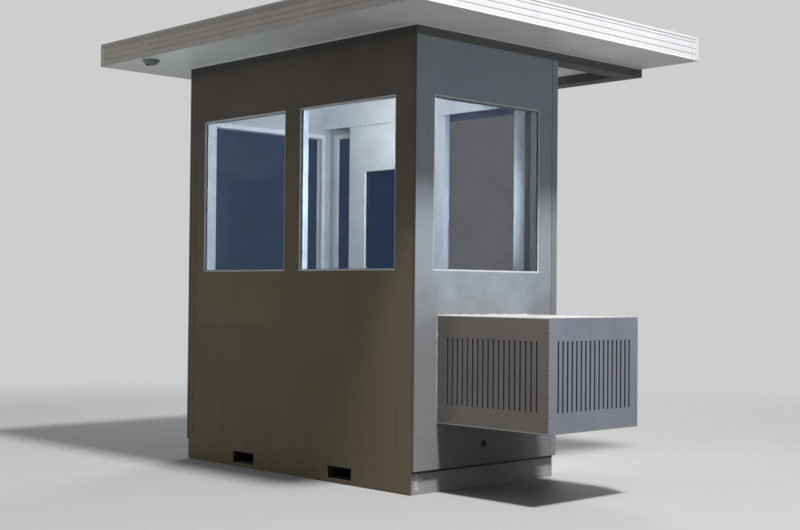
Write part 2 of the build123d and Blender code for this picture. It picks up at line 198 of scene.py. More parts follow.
def makeWeatherAndLightGroup():
    # large blotches, vertical rain streaks, splash near the ground that on the walls is also
    # painted light and shade, dust on faces that look up that on the guard and roof is also painted
    # light and shade, painted light and shade that grows downwards, a painted patch of light
    # towards the right corner, and painted shade below the unit guard, where its shadow falls
    look = weatheringAndLight
    group, given, result = newGroup(
        "weatherAndLight", {"Splash And Light Height": 0.6, "Painted Low Light Top": 2.0, "Painted Low Light Full": 1.25},
        ("Blotch", "Streak", "Splash And Low Light", "Top Dust And Light", "Painted Low Light", "Corner", "Guard Shade"))
    place = objectPlace(group)
    parts = partsOf(group, place)
    height = parts[2]
    facing = partsOf(group, faceNormal(group))[2]
    blotch = spread(group, noiseOf(group, place, look["blotchScale"], 5.0, 0.55, 0.4),
                    *look["blotch"])
    runs = noiseOf(group, stretched(group, place, look["streakStretch"]), 1.0, 4.0, 0.6)
    streak = spread(group, runs, *look["streak"])
    speckle = spread(group, noiseOf(group, place, look["speckleScale"], 6.0, 0.7),
                     *look["speckle"])
    patch = spread(group, noiseOf(group, place, look["patchScale"], 4.0, 0.6), *look["patch"])

    # low down: splash, which on the walls is also painted light and shade towards the bottom
    lowBand = spread(group, height, 0.0, given["Splash And Light Height"], 1.0, 0.0)
    broken = plus(group, times(group, speckle, look["speckleShare"]),
                  times(group, patch, look["patchShare"]))
    splashAndLowLight = times(group, mathOf(group, "POWER", lowBand, look["splashAndLightPower"]), broken, True)
    foot = mathOf(group, "POWER", spread(group, height, 0.0, 1.0, 1.0, 0.0), look["footPower"])
    splashAndLowLight = plus(group, splashAndLowLight, times(group, foot, look["footShare"]), True)

    # faces that look up: dust, which is also a painted highlight on the guard's top and painted
    # shade on the roof's lit tops
    topDustAndLight = times(group, spread(group, facing, *look["lookingUp"]),
                    spread(group, patch, 0.0, 1.0, look["leastDust"], 1.0))
    # painted light and shade that grows towards the bottom, on a wavering height
    drift = plus(group, height, spread(group, patch, 0.0, 1.0, -look["drift"], look["drift"]))
    paintedLowLight = spread(group, drift, given["Painted Low Light Top"], given["Painted Low Light Full"])
    # a painted patch of light low down near the right corner
    corner = times(group, spread(group, parts[0], *look["cornerFrom"]),
                   spread(group, drift, look["cornerTop"], look["cornerTop"] - look["cornerFade"]))

    # painted shade on the end wall below the unit guard, where its shadow falls, broken by the
    # streaks
    middle, half = float(guardLow[1] + guardHigh[1]) / 2, float(guardHigh[1] - guardLow[1]) / 2
    under = float(guardLow[2])
    aside = mathOf(group, "ABSOLUTE", mathOf(group, "SUBTRACT", parts[1], middle))
    guardShade = times(group, spread(group, aside, half, half - look["guardShadeSide"]),
                 spread(group, height, under + look["guardShadeOver"], under - look["guardShadeUnder"]))
    guardShade = times(group, guardShade, spread(group, runs, *look["guardShadeStreak"], look["leastGuardShade"], 1.0))
    setInputs(group, result, {"Blotch": blotch, "Streak": streak, "Splash And Low Light": splashAndLowLight,
                              "Top Dust And Light": topDustAndLight, "Painted Low Light": paintedLowLight, "Corner": corner, "Guard Shade": guardShade})
    return group


def makeRoomGroup(margin=0.0012):
    # 1 on faces that lie inside the room, 0 on those outside
    group, given, result = newGroup(
        "room", {"Half X": float(roomX), "Half Y": float(roomBack + roomFront) / 2,
                 "Middle Y": float(roomBack - roomFront) / 2}, ("Inside",))
    parts = partsOf(group, objectPlace(group))
    fromMiddle = mathOf(group, "SUBTRACT", parts[1], given["Middle Y"])
    inside = mathOf(group, "LESS_THAN", parts[2], float(ceilingZ) + margin)
    for distance, half in ((parts[0], given["Half X"]), (fromMiddle, given["Half Y"])):
        near = mathOf(group, "LESS_THAN", mathOf(group, "ABSOLUTE", distance),
                      plus(group, half, margin))
        inside = times(group, inside, near)
    setInputs(group, result, {"Inside": inside})
    return group


def makePeelGroup(rippleScale=420.0, swellScale=2.3):
    # the fine ripple of sprayed paint, with a slow swell of thin sheet under it
    group, given, result = newGroup("paintPeel", {"Ripple": 0.25, "Swell": 1.0}, ("Height",))
    place = objectPlace(group)
    fine = times(group, noiseOf(group, place, rippleScale, 2.0, 0.5), given["Ripple"])
    slow = times(group, noiseOf(group, place, swellScale, 1.0, 0.4), given["Swell"])
    setInputs(group, result, {"Height": plus(group, fine, slow)})
    return group


def makeWearGroup(chipScale=55.0, chipFrom=(0.4, 0.62), edgeFrom=(0.995, 0.86)):
    # 1 near outward edges, broken up by noise: the rounded normal leaves the flat one there
    group, given, result = newGroup("edgeWearAndLight", {"Radius": 0.004, "Amount": 0.5},
                                    ("Wear And Edge Light", "Normal"), ("Normal",))
    place, flat = objectPlace(group), faceNormal(group)
    rounded = addNode(group, "ShaderNodeBevel", {"Radius": given["Radius"]}, samples=4).outputs[0]
    agree = vectorOf(group, "DOT_PRODUCT", rounded, flat)["Value"]
    edge = spread(group, agree, *edgeFrom)
    chips = spread(group, noiseOf(group, place, chipScale, 5.0, 0.65), *chipFrom)
    worn = times(group, times(group, edge, chips), given["Amount"], True)
    setInputs(group, result, {"Wear And Edge Light": worn, "Normal": rounded})
    return group


def makeBrushGroup():
    # long fine scratches for drawn metal, along the axis that is stretched least
    group, given, result = newGroup("brushed", {"Stretch": (4.0, 400.0, 400.0)}, ("Grain",))
    scratches = stretched(group, objectPlace(group), given["Stretch"])
    setInputs(group, result, {"Grain": noiseOf(group, scratches, 1.0, 3.0, 0.6)})
    return group


weatherAndLightGroup, roomGroup = makeWeatherAndLightGroup(), makeRoomGroup()
peelGroup, wearGroup, brushGroup = makePeelGroup(), makeWearGroup(), makeBrushGroup()


def newMaterial(name):
    material = bpy.data.materials.new(name)
    material.use_nodes = True
    tree = material.node_tree
    return material, tree, tree.nodes["Principled BSDF"]


def bumpOf(tree, height, strength, distance, normal=None):
    inputs = {"Height": height, "Strength": strength, "Distance": distance}
    if normal is not None:
        inputs["Normal"] = normal
    return addNode(tree, "ShaderNodeBump", inputs).outputs[0]


# painted steel

plainPaint = dict(dustAndLightShare=0.0, streaky=0.2, top=0.2, room=False, splashAndLightHeight=0.5, gloss=0.28,
                  paintedLowLightFrom=(2.0, 1.25))
# the wall paint in its dark copy: painted shade, for the faces that look along Y
shadedWallTone = dict(plainPaint, base=(84, 76, 69), second=(77, 70, 63), dustAndLightTone=(128, 120, 98),
                # the next two lines hold painted light: a lighter, warmer tone towards the bottom
                # and a lighter patch near the right corner
                streak=(62, 57, 50), paintedLowLight=(96, 88, 64), paintedLowLightShare=0.9, corner=(124, 115, 92),
                cornerLightShare=0.6, dustAndLightShare=0.22, streaky=0.25, rough=(0.4, 0.52), room=True,
                # the low tone reaches this high on the front faces: partly dust and partly painted
                # light
                splashAndLightHeight=1.1)
# the same wall paint in its pale copy: painted light, for the faces that look along X
litWallTone = dict(plainPaint, base=(158, 166, 173), second=(152, 160, 167), dustAndLightTone=(124, 119, 112),
               # the greyer tone towards the bottom on the next line is painted shade
               streak=(128, 132, 137), paintedLowLight=(133, 132, 131), paintedLowLightShare=0.75, paintedLowLightFrom=(1.22, 0.86),
               # the low tone on the end faces is partly dust and partly painted shade
               corner=(134, 133, 132), cornerLightShare=0.0, dustAndLightShare=0.7, rough=(0.38, 0.5), room=True,
               # the darkest tone on the next line is painted shade below the unit guard
               splashAndLightHeight=1.05, guardShade=(78, 72, 66), guardShadeShare=0.5)
# painted shade: the navy inner face above the door, in the cavity behind the header, stands for the
# shade there
lintelCavityShade = dict(shadedWallTone, base=(92, 98, 126), second=(84, 90, 116), room=False)
# the near white tone on faces that look up is a painted highlight on the guard's top
guardGrey = dict(plainPaint, base=(128, 124, 118), second=(118, 113, 106), dustAndLightTone=(214, 214, 210),
                 streak=(98, 96, 92), streaky=0.25, top=0.8, rough=(0.4, 0.52))
# painted light: the guard's end, which looks along X, takes a paler, bluer copy of the guard paint
guardLitEnd = dict(base=(142, 147, 159), second=(133, 137, 148))
# the beams take copies of one paint by the way a face looks: the darker front copy is painted shade
# and the paler side-beam copy painted light
crossBeam = dict(plainPaint, base=(110, 113, 120), second=(102, 105, 112), dustAndLightTone=(112, 110, 106),
                 streak=(84, 85, 88), gloss=0.06, rough=(0.7, 0.8))
sideBeam = dict(crossBeam, base=(116, 119, 118), second=(108, 111, 110))
beamShadedFront = dict(base=(86, 88, 84), second=(79, 81, 77))
pocketDark = dict(plainPaint, base=(52, 50, 47), second=(44, 42, 40), dustAndLightTone=(96, 90, 80),
                  streak=(34, 32, 30), dustAndLightShare=0.35, top=0.3, rough=(0.5, 0.65), splashAndLightHeight=0.4)
skidGrey = dict(plainPaint, base=(166, 163, 160), second=(146, 143, 140), dustAndLightTone=(190, 186, 178),
                streak=(112, 108, 104), dustAndLightShare=0.5, streaky=0.3, top=0.4, rough=(0.5, 0.7),
                splashAndLightHeight=0.3)
# the grey on faces that look up is dust and also painted shade that keeps the lit tops from going
# to white
roofWhite = dict(plainPaint, base=(243, 243, 243), second=(235, 235, 235), dustAndLightTone=(176, 172, 162),
                 streak=(188, 186, 178), streaky=0.16, top=0.9, rough=(0.34, 0.46))
# painted shade: the fascia's faces that look to the front take this grey copy of the white
fasciaShadedFront = dict(base=(170, 165, 159), second=(160, 155, 150))
deckGrey = dict(plainPaint, base=(182, 184, 186), second=(172, 174, 175), dustAndLightTone=(148, 144, 136),
                streak=(150, 148, 144), streaky=0.16, top=0.5, rough=(0.45, 0.6))
soffitWhite = dict(plainPaint, base=(240, 241, 238), second=(232, 233, 230),
                   dustAndLightTone=(170, 168, 160), streak=(176, 176, 172), streaky=0.1, top=0.0,
                   rough=(0.42, 0.55))
paintFilm = dict(edgeRadius=0.0035, edgeWearAndLight=0.35, wornAndLitEdge=34, dustRough=0.3, roomRough=0.1,
                 ripple=0.12, swell=1.0, bump=(0.35, 0.004), room=(184, 189, 194))


def paintedMetal(name, finish, other=None, axis=0, way=0, turned=0.7):
    # other is a second finish, for faces that look along the axis: both ways, or one (1 or -1);
    # each use here makes it a copy of the paint in painted light or painted shade
    material, tree, shader = newMaterial(name)
    weatherAndLight = placeGroup(tree, weatherAndLightGroup, {
        "Splash And Light Height": finish["splashAndLightHeight"], "Painted Low Light Top": finish["paintedLowLightFrom"][0],
        "Painted Low Light Full": finish["paintedLowLightFrom"][1]})
    wear = placeGroup(tree, wearGroup, {
        "Radius": paintFilm["edgeRadius"], "Amount": paintFilm["edgeWearAndLight"]})
    if other:
        facing = partsOf(tree, faceNormal(tree))[axis]
        facing = times(tree, facing, way) if way else mathOf(tree, "ABSOLUTE", facing)
        facing = mathOf(tree, "GREATER_THAN", facing, turned)

    def toned(key):
        if other and key in other:
            return mixShades(tree, facing, finish[key], other[key])
        return linear(*finish[key])

    def over(colour, mask, amount, key):
        share = finish.get(amount, 0.0)
        if other:
            share = spread(tree, facing, 0.0, 1.0, share, other.get(amount, 0.0))
        return mixColour(tree, times(tree, weatherAndLight[mask], share), colour, toned(key))

    colour = mixColour(tree, weatherAndLight["Blotch"], toned("base"), toned("second"))
    # painted light and shade towards the bottom
    if "paintedLowLight" in finish:
        colour = over(colour, "Painted Low Light", "paintedLowLightShare", "paintedLowLight")
        # a painted patch of light near the right corner
        colour = over(colour, "Corner", "cornerLightShare", "corner")
    # painted shade below the unit guard
    if "guardShade" in finish:
        colour = over(colour, "Guard Shade", "guardShadeShare", "guardShade")
    colour = coated(tree, colour, weatherAndLight["Streak"], finish["streaky"], finish["streak"])
    # splash low down and faces that look up take the low tone: dust, and on the walls, guard and
    # roof also painted light and shade
    dustAndLightShare = plus(tree, times(tree, weatherAndLight["Splash And Low Light"], finish["dustAndLightShare"]),
                 times(tree, weatherAndLight["Top Dust And Light"], finish["top"]), True)
    colour = mixColour(tree, dustAndLightShare, colour, linear(*finish["dustAndLightTone"]))
    # edges lighter: wear, and a painted highlight on the rounded corners
    wornAndLitEdge = linear(*shifted(finish["base"], paintFilm["wornAndLitEdge"]))
    colour = mixColour(tree, wear["Wear And Edge Light"], colour, wornAndLitEdge)
    rough = spread(tree, weatherAndLight["Blotch"], 0.0, 1.0, *finish["rough"])
    rough = plus(tree, rough, times(tree, dustAndLightShare, paintFilm["dustRough"]), True)
    if finish["room"]:
        inside = placeGroup(tree, roomGroup)["Inside"]
        colour = mixColour(tree, inside, colour, linear(*paintFilm["room"]))
        rough = plus(tree, rough, times(tree, inside, paintFilm["roomRough"]), True)
    peel = placeGroup(tree, peelGroup, {
        "Ripple": paintFilm["ripple"], "Swell": paintFilm["swell"]})["Height"]
    setInputs(tree, shader, {
        "Base Color": colour, "Roughness": rough, "Specular IOR Level": finish["gloss"],
        "Normal": bumpOf(tree, peel, *paintFilm["bump"], wear["Normal"])})
    return material


# the walls take one paint in two copies by the way a face looks: the dark copy is painted shade and
# the pale copy painted light
shadedAndLitWallPaint = paintedMetal("shadedAndLitPostPaint", shadedWallTone, litWallTone, 0)
endWallLitAndShadedPaint = paintedMetal("endWallLitAndShadedPaint", litWallTone, shadedWallTone, 1)
lintelShadePaint = paintedMetal("lintelShadePaint", lintelCavityShade, shadedWallTone, 1, 1)
guardPaint = paintedMetal("guardPaint", guardGrey)
guardLitAndShadedSides = paintedMetal("guardLitAndShadedSides", guardGrey, guardLitEnd, 0)
crossBeamPaint = paintedMetal("beamLitAndShadedFaces", crossBeam, beamShadedFront, 1)
sideBeamPaint = paintedMetal("sideBeamPaint", sideBeam, beamShadedFront, 1)
pocketPaint = paintedMetal("pocketPaint", pocketDark)
skidPaint = paintedMetal("skidPaint", skidGrey)
fasciaPaintShadedFront = paintedMetal("fasciaPaintShadedFront", roofWhite, fasciaShadedFront, 1, -1, 0.25)
deckPaint = paintedMetal("deckGrey", deckGrey)
soffitPaint = paintedMetal("soffitWhite", soffitWhite)


# trim, glass, metals, plastics and rubber

trim = dict(base=(226, 231, 235), second=(216, 221, 226), dustAndLightTone=(168, 163, 152), dustAndLightShare=0.4,
            streak=(190, 190, 184), streaky=0.1, rough=(0.3, 0.42), splashAndLightHeight=0.4,
            edgeRadius=0.0025, edgeWearAndLight=0.25, ripple=0.1, swell=0.2, bump=(0.3, 0.003))


def whiteTrim():
    material, tree, shader = newMaterial("whiteTrim")
    weatherAndLight = placeGroup(tree, weatherAndLightGroup, {"Splash And Light Height": trim["splashAndLightHeight"]})
    wear = placeGroup(tree, wearGroup, {"Radius": trim["edgeRadius"], "Amount": trim["edgeWearAndLight"]})
    colour = mixShades(tree, weatherAndLight["Blotch"], trim["base"], trim["second"])
    colour = coated(tree, colour, weatherAndLight["Splash And Low Light"], trim["dustAndLightShare"], trim["dustAndLightTone"])
    colour = coated(tree, colour, weatherAndLight["Streak"], trim["streaky"], trim["streak"])
    peel = placeGroup(tree, peelGroup, {"Ripple": trim["ripple"], "Swell": trim["swell"]})
    rough = spread(tree, weatherAndLight["Blotch"], 0.0, 1.0, *trim["rough"])
    setInputs(tree, shader, {
        "Base Color": colour, "Roughness": rough,
        "Normal": bumpOf(tree, peel["Height"], *trim["bump"], wear["Normal"])})
    return material


# the end, left and back panes take darker tints: painted shade for the dark outdoors seen through
# them
glass = dict(
    dimmed=0.86, index=1.22, smearStretch=(3.0, 3.0, 7.0), smears=(0.45, 0.8),
    tints={"tintedGlass": (0.33, 0.345, 0.365), "endGlassShaded": (0.172, 0.180, 0.20),
           "deepGlassShaded": (0.075, 0.17, 0.33), "backGlassShaded": (0.07, 0.15, 0.30),
           "doorGlass": (0.55, 0.75, 0.90)},
)


def tintedGlass(name):
    # a clear tint, a little darker where it was wiped
    material, tree, shader = newMaterial(name)
    tint = glass["tints"][name]
    wiped = noiseOf(tree, stretched(tree, objectPlace(tree), glass["smearStretch"]),
                    1.0, 4.0, 0.6, 0.8)
    dimmed = tuple(value * glass["dimmed"] for value in tint)
    colour = mixColour(tree, spread(tree, wiped, *glass["smears"]), (*tint, 1.0), (*dimmed, 1.0))
    setInputs(tree, shader, {"Base Color": colour, "Roughness": 0.0, "IOR": glass["index"],
                             "Transmission Weight": 1.0})
    return material


drawnMetal = dict(darker=-22, dustAndLightTone=(120, 113, 102), rough=(0.3, 0.48), bump=(0.15, 0.001),
                  grain=(0.2, 0.8), metallic=0.9, splashAndLightHeight=0.5)


def aluminium(name, shade, stretch, dirt):
    material, tree, shader = newMaterial(name)
    grain = placeGroup(tree, brushGroup, {"Stretch": stretch})["Grain"]
    weatherAndLight = placeGroup(tree, weatherAndLightGroup, {"Splash And Light Height": drawnMetal["splashAndLightHeight"]})
    colour = mixShades(tree, grain, shade, shifted(shade, drawnMetal["darker"]))
    colour = coated(tree, colour, weatherAndLight["Top Dust And Light"], dirt, drawnMetal["dustAndLightTone"])
    setInputs(tree, shader, {
        "Base Color": colour, "Metallic": drawnMetal["metallic"],
        "Roughness": spread(tree, grain, *drawnMetal["grain"], *drawnMetal["rough"]),
        "Normal": bumpOf(tree, grain, *drawnMetal["bump"])})
    return material


tread = dict(perMetre=30, turn=45, slim=7.5, long=2.2, slope=(0.75, 1.0), base=(168, 170, 172),
             second=(150, 151, 152), dustAndLightTone=(120, 114, 104), dustAndLightShare=0.45, worn=(196, 197, 198),
             wear=0.5, rough=(0.55, 0.32), metallic=0.75, bump=(0.8, 0.0015), splashAndLightHeight=0.3)


def treadPlate():
    # small raised lozenges in rows, turned a quarter from one to the next: each is the set
    # where long |x| + slim |y| < 1 about its cell's middle, with x and y swapped in every other
    material, tree, shader = newMaterial("floorMetal")
    turned = addNode(tree, "ShaderNodeMapping", {
        "Vector": objectPlace(tree), "Rotation": (0, 0, math.radians(tread["turn"])),
        "Scale": (tread["perMetre"],) * 3}).outputs[0]
    checker = addNode(tree, "ShaderNodeTexChecker", {"Vector": turned, "Scale": 1.0}).outputs[1]
    cells = vectorOf(tree, "FRACTION", turned)[0]
    parts = partsOf(tree, vectorOf(tree, "SUBTRACT", cells, (0.5, 0.5, 0.0))[0])
    first, second = (mathOf(tree, "ABSOLUTE", part) for part in (parts[0], parts[1]))
    lozenges = [plus(tree, times(tree, first, one), times(tree, second, two))
                for one, two in ((tread["long"], tread["slim"]), (tread["slim"], tread["long"]))]
    shape = addNode(tree, "ShaderNodeMix", {0: checker, 2: lozenges[0], 3: lozenges[1]}).outputs[0]
    raised = spread(tree, shape, *tread["slope"], 1.0, 0.0)
    weatherAndLight = placeGroup(tree, weatherAndLightGroup, {"Splash And Light Height": tread["splashAndLightHeight"]})
    colour = mixShades(tree, weatherAndLight["Blotch"], tread["base"], tread["second"])
    colour = coated(tree, colour, weatherAndLight["Top Dust And Light"], tread["dustAndLightShare"], tread["dustAndLightTone"])
    colour = coated(tree, colour, raised, tread["wear"], tread["worn"])
    setInputs(tree, shader, {
        "Base Color": colour, "Metallic": tread["metallic"],
        "Roughness": spread(tree, raised, 0.0, 1.0, *tread["rough"]),
        "Normal": bumpOf(tree, raised, *tread["bump"])})
    return material


def speckled(name, shade, other, patches, most, grain, rough, bump, between=None):
    # patches is the noise (scale, detail, roughness, low, high) that mixes in the other shade, up
    # to most, and grain the finer noise of the bump. The roughness follows the grain where between
    # gives its lowest and highest value, and otherwise the patches.
    material, tree, shader = newMaterial(name)
    place = objectPlace(tree)
    share = spread(tree, noiseOf(tree, place, *patches[:3]), *patches[3:], 0.0, most)
    fine = noiseOf(tree, place, *grain)
    followed, limits = (fine, between) if between else (share, (0.0, most))
    setInputs(tree, shader, {
        "Base Color": mixShades(tree, share, shade, other),
        "Roughness": spread(tree, followed, *limits, *rough),
        "Normal": bumpOf(tree, fine, *bump)})
    return material


def softBlack(name, shade, rough):
    return speckled(name, shade, (88, 84, 76), (9.0, 4.0, 0.6, 0.45, 0.8), 0.35, (260.0, 3.0, 0.6),
                    (rough - 0.06, rough + 0.06), (0.2, 0.001), (0.3, 0.7))


def fixturePlastic(name, shade, rough):
    return speckled(name, shade, shifted(shade, -16), (22.0, 4.0, 0.6, 0.35, 0.7), 1.0,
                    (700.0, 2.0, 0.5), (rough, rough + 0.12), (0.15, 0.0006))


def sealant():
    return speckled("sealant", (196, 196, 192), (132, 129, 122), (14.0, 4.0, 0.65, 0.4, 0.75), 0.7,
                    (90.0, 5.0, 0.6), (0.42, 0.62), (0.5, 0.002), (0.3, 0.7))


# the near black between the wires is painted shade for the dark inside of the guard
screenWire = dict(waves=2500.0, wireFrom=(0.2, 0.9), gap=(6, 6, 6), wire=(26, 26, 27),
                  specks=(12.0, 4.0, 0.6), speckFrom=(0.45, 0.8), dustAndLightTone=(52, 49, 45), dustAndLightShare=0.4,
                  rough=(0.9, 0.6), bump=(0.6, 0.0008))


def wireScreen():
    # dark woven wire: two sets of fine sine waves, crossing, on a near black ground that is
    # painted shade for the dark inside of the guard
    material, tree, shader = newMaterial("insectMeshOverShade")
    place = objectPlace(tree)
    parts = partsOf(tree, place)
    level, run = (mathOf(tree, "SINE", times(tree, distance, screenWire["waves"]))
                  for distance in (parts[2], plus(tree, parts[0], parts[1])))
    weave = spread(tree, mathOf(tree, "MAXIMUM", level, run), *screenWire["wireFrom"])
    dustAndLightTone = spread(tree, noiseOf(tree, place, *screenWire["specks"]), *screenWire["speckFrom"],
                  0.0, screenWire["dustAndLightShare"])
    colour = mixShades(tree, weave, screenWire["gap"], screenWire["wire"])
    setInputs(tree, shader, {
        "Base Color": mixColour(tree, dustAndLightTone, colour, linear(*screenWire["dustAndLightTone"])),
        "Roughness": spread(tree, weave, 0.0, 1.0, *screenWire["rough"]),
        "Normal": bumpOf(tree, weave, *screenWire["bump"])})
    return material


lens = dict(ringWaves=900.0, bright=(0.02, 0.125), rimShare=0.72, strength=1.3,
            base=((214, 220, 228), (248, 250, 252)), glow=((214, 224, 236), (250, 252, 255)),
            rough=(0.3, 0.45), bump=(0.3, 0.001))


def lampCover():
    # frosted lens with moulded rings, lit from behind and dimmer towards its rim
    material, tree, shader = newMaterial("lampCover")
    flat = vectorOf(tree, "MULTIPLY", objectPlace(tree), (1.0, 1.0, 0.0))[0]
    radius = vectorOf(tree, "LENGTH", flat)["Value"]
    rings = mathOf(tree, "SINE", times(tree, radius, lens["ringWaves"]))
    glow = spread(tree, radius, *lens["bright"], 1.0, lens["rimShare"])
    setInputs(tree, shader, {
        "Base Color": mixShades(tree, glow, *lens["base"]),
        "Emission Color": mixShades(tree, glow, *lens["glow"]),
        "Emission Strength": lens["strength"],
        "Roughness": spread(tree, rings, -1.0, 1.0, *lens["rough"]),
        "Normal": bumpOf(tree, rings, *lens["bump"])})
    return material


trimWhite = whiteTrim()
glasses = {name: tintedGlass(name) for name in glass["tints"]}
drawnAluminium = aluminium("bareAluminium", (190, 192, 195), (4.0, 400.0, 400.0), 0.5)
zincSteel = aluminium("zincSteel", (158, 160, 163), (300.0, 300.0, 300.0), 0.3)
floorMetal = treadPlate()
rubber = softBlack("blackRubber", (30, 30, 31), 0.62)
# dark joints for the wall seams, and painted shade for the panel gaps
seamFillAndGapShade = softBlack("seamFillAndGapShade", (38, 36, 34), 0.7)
paleSealant = sealant()
insectMeshOverShade = wireScreen()
lampLens = lampCover()
greyPlastic = fixturePlastic("fixturePlastic", (138, 141, 144), 0.32)
darkLens = fixturePlastic("fixtureLens", (40, 42, 46), 0.12)
print("materials made:", len(bpy.data.materials))

nodeFinishes = [
    (skidPaint, "base_cross_rails base_long_rails"),
    (pocketPaint, "fork_pocket_left fork_pocket_right"),
    (floorMetal, "floor_plate"),
    (shadedAndLitWallPaint, "front_wall corner_posts back_wall_left back_wall_right back_wall_under_door"),
    (endWallLitAndShadedPaint, "left_wall right_wall"),
    (lintelShadePaint, "back_wall_over_door"),
    (sideBeamPaint, "eave_side_beams"),
    (crossBeamPaint, "eave_cross_beams"),
    (soffitPaint, "soffit_panel"),
    (deckPaint, "roof_panel"),
    (fasciaPaintShadedFront, "fascia_front fascia_back fascia_left fascia_right"),
    (trimWhite, "ceiling_panel door_header door_post door_leaf front_left_window_frame "
                "front_right_window_frame right_window_frame left_window_frame back_window_frame"),
    (lampLens, "ceiling_light"),
    (drawnAluminium, "door_track door_guide door_sill door_pull"),
    (zincSteel, "door_hangers"),
    (guardLitAndShadedSides, "guard_shell guard_front"),
    (greyPlastic, "soffit_fixture"),
    (rubber, "wall_grommet"),
    (glasses["tintedGlass"], "front_left_window_pane front_right_window_pane"),
    (glasses["endGlassShaded"], "right_window_pane"),
    (glasses["deepGlassShaded"], "left_window_pane"),
    (glasses["backGlassShaded"], "back_window_pane"),
    (glasses["doorGlass"], "door_pane"),
]
for finish, names in nodeFinishes:
    for name in names.split():
        nodes[name].data.materials.clear()
        nodes[name].data.materials.append(finish)


# shapes: each is a pair of arrays, its points and its four-cornered faces

def gridFaces(rows, columns, wrapRows, wrapColumns):
    # each face joins point (r, c) to its neighbours; a wrapped side joins its end to its start
    row = np.arange(rows if wrapRows else rows - 1)
    column = np.arange(columns if wrapColumns else columns - 1)
    r, c = np.meshgrid(row, column, indexing="ij")
    nextR, nextC = (r + 1) % rows, (c + 1) % columns
    corners = (r * columns + c, nextR * columns + c, nextR * columns + nextC, r * columns + nextC)
    return np.stack(corners, -1).reshape(-1, 4)


def carry(path, profile, facing, closed=False):
    # profile point (d, h) follows the path, d to the side and h along facing;
    # at a corner the side direction is the mitre, (a + b) / (1 + a.b) of its two neighbours
    path, profile, facing = np.array(path, float), np.array(profile, float), np.array(facing, float)
    steps = (np.roll(path, -1, 0) - path) if closed else np.diff(path, axis=0)
    side = np.cross(steps / np.linalg.norm(steps, axis=1, keepdims=True), facing)
    before = np.roll(side, 1, 0) if closed else np.concatenate([side[:1], side])
    after = side if closed else np.concatenate([side, side[-1:]])
    mitre = (before + after) / (1 + (before * after).sum(1, keepdims=True))
    points = path[:, None] + profile[None, :, :1] * mitre[:, None] + profile[None, :, 1:] * facing
    return points.reshape(-1, 3), gridFaces(len(path), len(profile), closed, True)


def strips(paths, profile, facing, closed=False):
    return joined([carry(path, profile, facing, closed) for path in paths])


def uprights(places, low, high, profile):
    # a strip from low to high at every (x, y, outward)
    return joined([carry([(x, y, low), (x, y, high)], profile, outward)
                   for x, y, outward in places])


def ridge(half, topHalf, foot, top):
    # the section of a low strip, narrower at its top
    return [(-half, foot), (half, foot), (topHalf, top), (-topHalf, top)]


def lathe(centre, axis, profile, segments=32):
    # profile point (r, h) turns about the axis: centre + r cos(t) a + r sin(t) b + h axis
    axis = np.array(axis, float)
    first = np.cross(axis, upward if abs(axis[2]) < 0.9 else across)
    first /= np.linalg.norm(first)
    second = np.cross(axis, first)
    turn = np.linspace(0, 2 * math.pi, segments, endpoint=False)[:, None, None]
    profile = np.array(profile, float)
    reach, height = profile[None, :, :1], profile[None, :, 1:]
    outwards = np.cos(turn) * first + np.sin(turn) * second
    points = np.array(centre) + reach * outwards + height * axis
    return points.reshape(-1, 3), gridFaces(segments, len(profile), True, False)


def copies(shape, places):
    # the same points moved to every place at once
    points, faces = shape
    places = np.array(places, float)
    moved = places[:, None] + points[None]
    numbers = np.arange(len(places))[:, None, None] * len(points) + faces[None]
    return moved.reshape(-1, 3), numbers.reshape(-1, 4)


def joined(shapes):
    # one shape after another, with face numbers moved on past the points before
    starts = np.cumsum([0] + [len(points) for points, faces in shapes[:-1]])
    points = np.concatenate([points for points, faces in shapes])
    return points, np.concatenate([faces + start for (made, faces), start in zip(shapes, starts)])


def addPiece(name, shape, material, body="cabin", sharp=32):
    points, faces = shape
    mesh = bpy.data.meshes.new(name)
    mesh.from_pydata(points.tolist(), [], faces.tolist())
    work = bmesh.new()
    work.from_mesh(mesh)
    bmesh.ops.remove_doubles(work, verts=work.verts, dist=1e-6)
    openEdges = [edge for edge in work.edges if edge.is_boundary]
    if openEdges:
        bmesh.ops.holes_fill(work, edges=openEdges, sides=0)
    bmesh.ops.recalc_face_normals(work, faces=work.faces)
    work.to_mesh(mesh)
    work.free()
    mesh.shade_smooth()
    mesh.set_sharp_from_angle(angle=math.radians(sharp))
    mesh.materials.append(material)
    piece = bpy.data.objects.new(name, mesh)
    bpy.context.scene.collection.objects.link(piece)
    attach(piece, body)
    return piece


def roundProfile(radius, middle, count=12):
    # a circle: middle + radius (cos t, sin t)
    turn = np.linspace(0, 2 * math.pi, count, endpoint=False)
    return np.array(middle) + radius * np.stack([np.cos(turn), np.sin(turn)], -1)


def wobble(count, knots, generator):
    # smooth random values from 0 to 1: random heights at even knots, joined by cosine steps
    heights = generator.random(knots)
    place = np.linspace(0, knots - 1.001, count)
    start = place.astype(int)
    share = (1 - np.cos((place - start) * math.pi)) / 2
    return heights[start] * (1 - share) + heights[start + 1] * share


def bead(start, end, outward, side, thick, wide, generator, count=200, knots=34, around=10):
    # an uneven strip of sealant: ellipses along a line, whose two half widths wander between
    # limits and shrink over the last few steps at both ends
    line = np.linspace(start, end, count)
    outward, side = np.array(outward, float), np.array(side, float)
    high = thick[0] + (thick[1] - thick[0]) * wobble(count, knots, generator)
    broad = wide[0] + (wide[1] - wide[0]) * wobble(count, knots, generator) ** 2
    fromEnd = np.minimum(np.arange(count), np.arange(count)[::-1])
    ends = np.minimum(1, fromEnd / 4 + 0.15)
    turn = np.linspace(0, 2 * math.pi, around, endpoint=False)
    ring = (np.cos(turn)[None, :, None] * (broad * ends)[:, None, None] * side
            + np.sin(turn)[None, :, None] * (high * ends)[:, None, None] * outward)
    return (line[:, None] + ring).reshape(-1, 3), gridFaces(count, around, False, True)


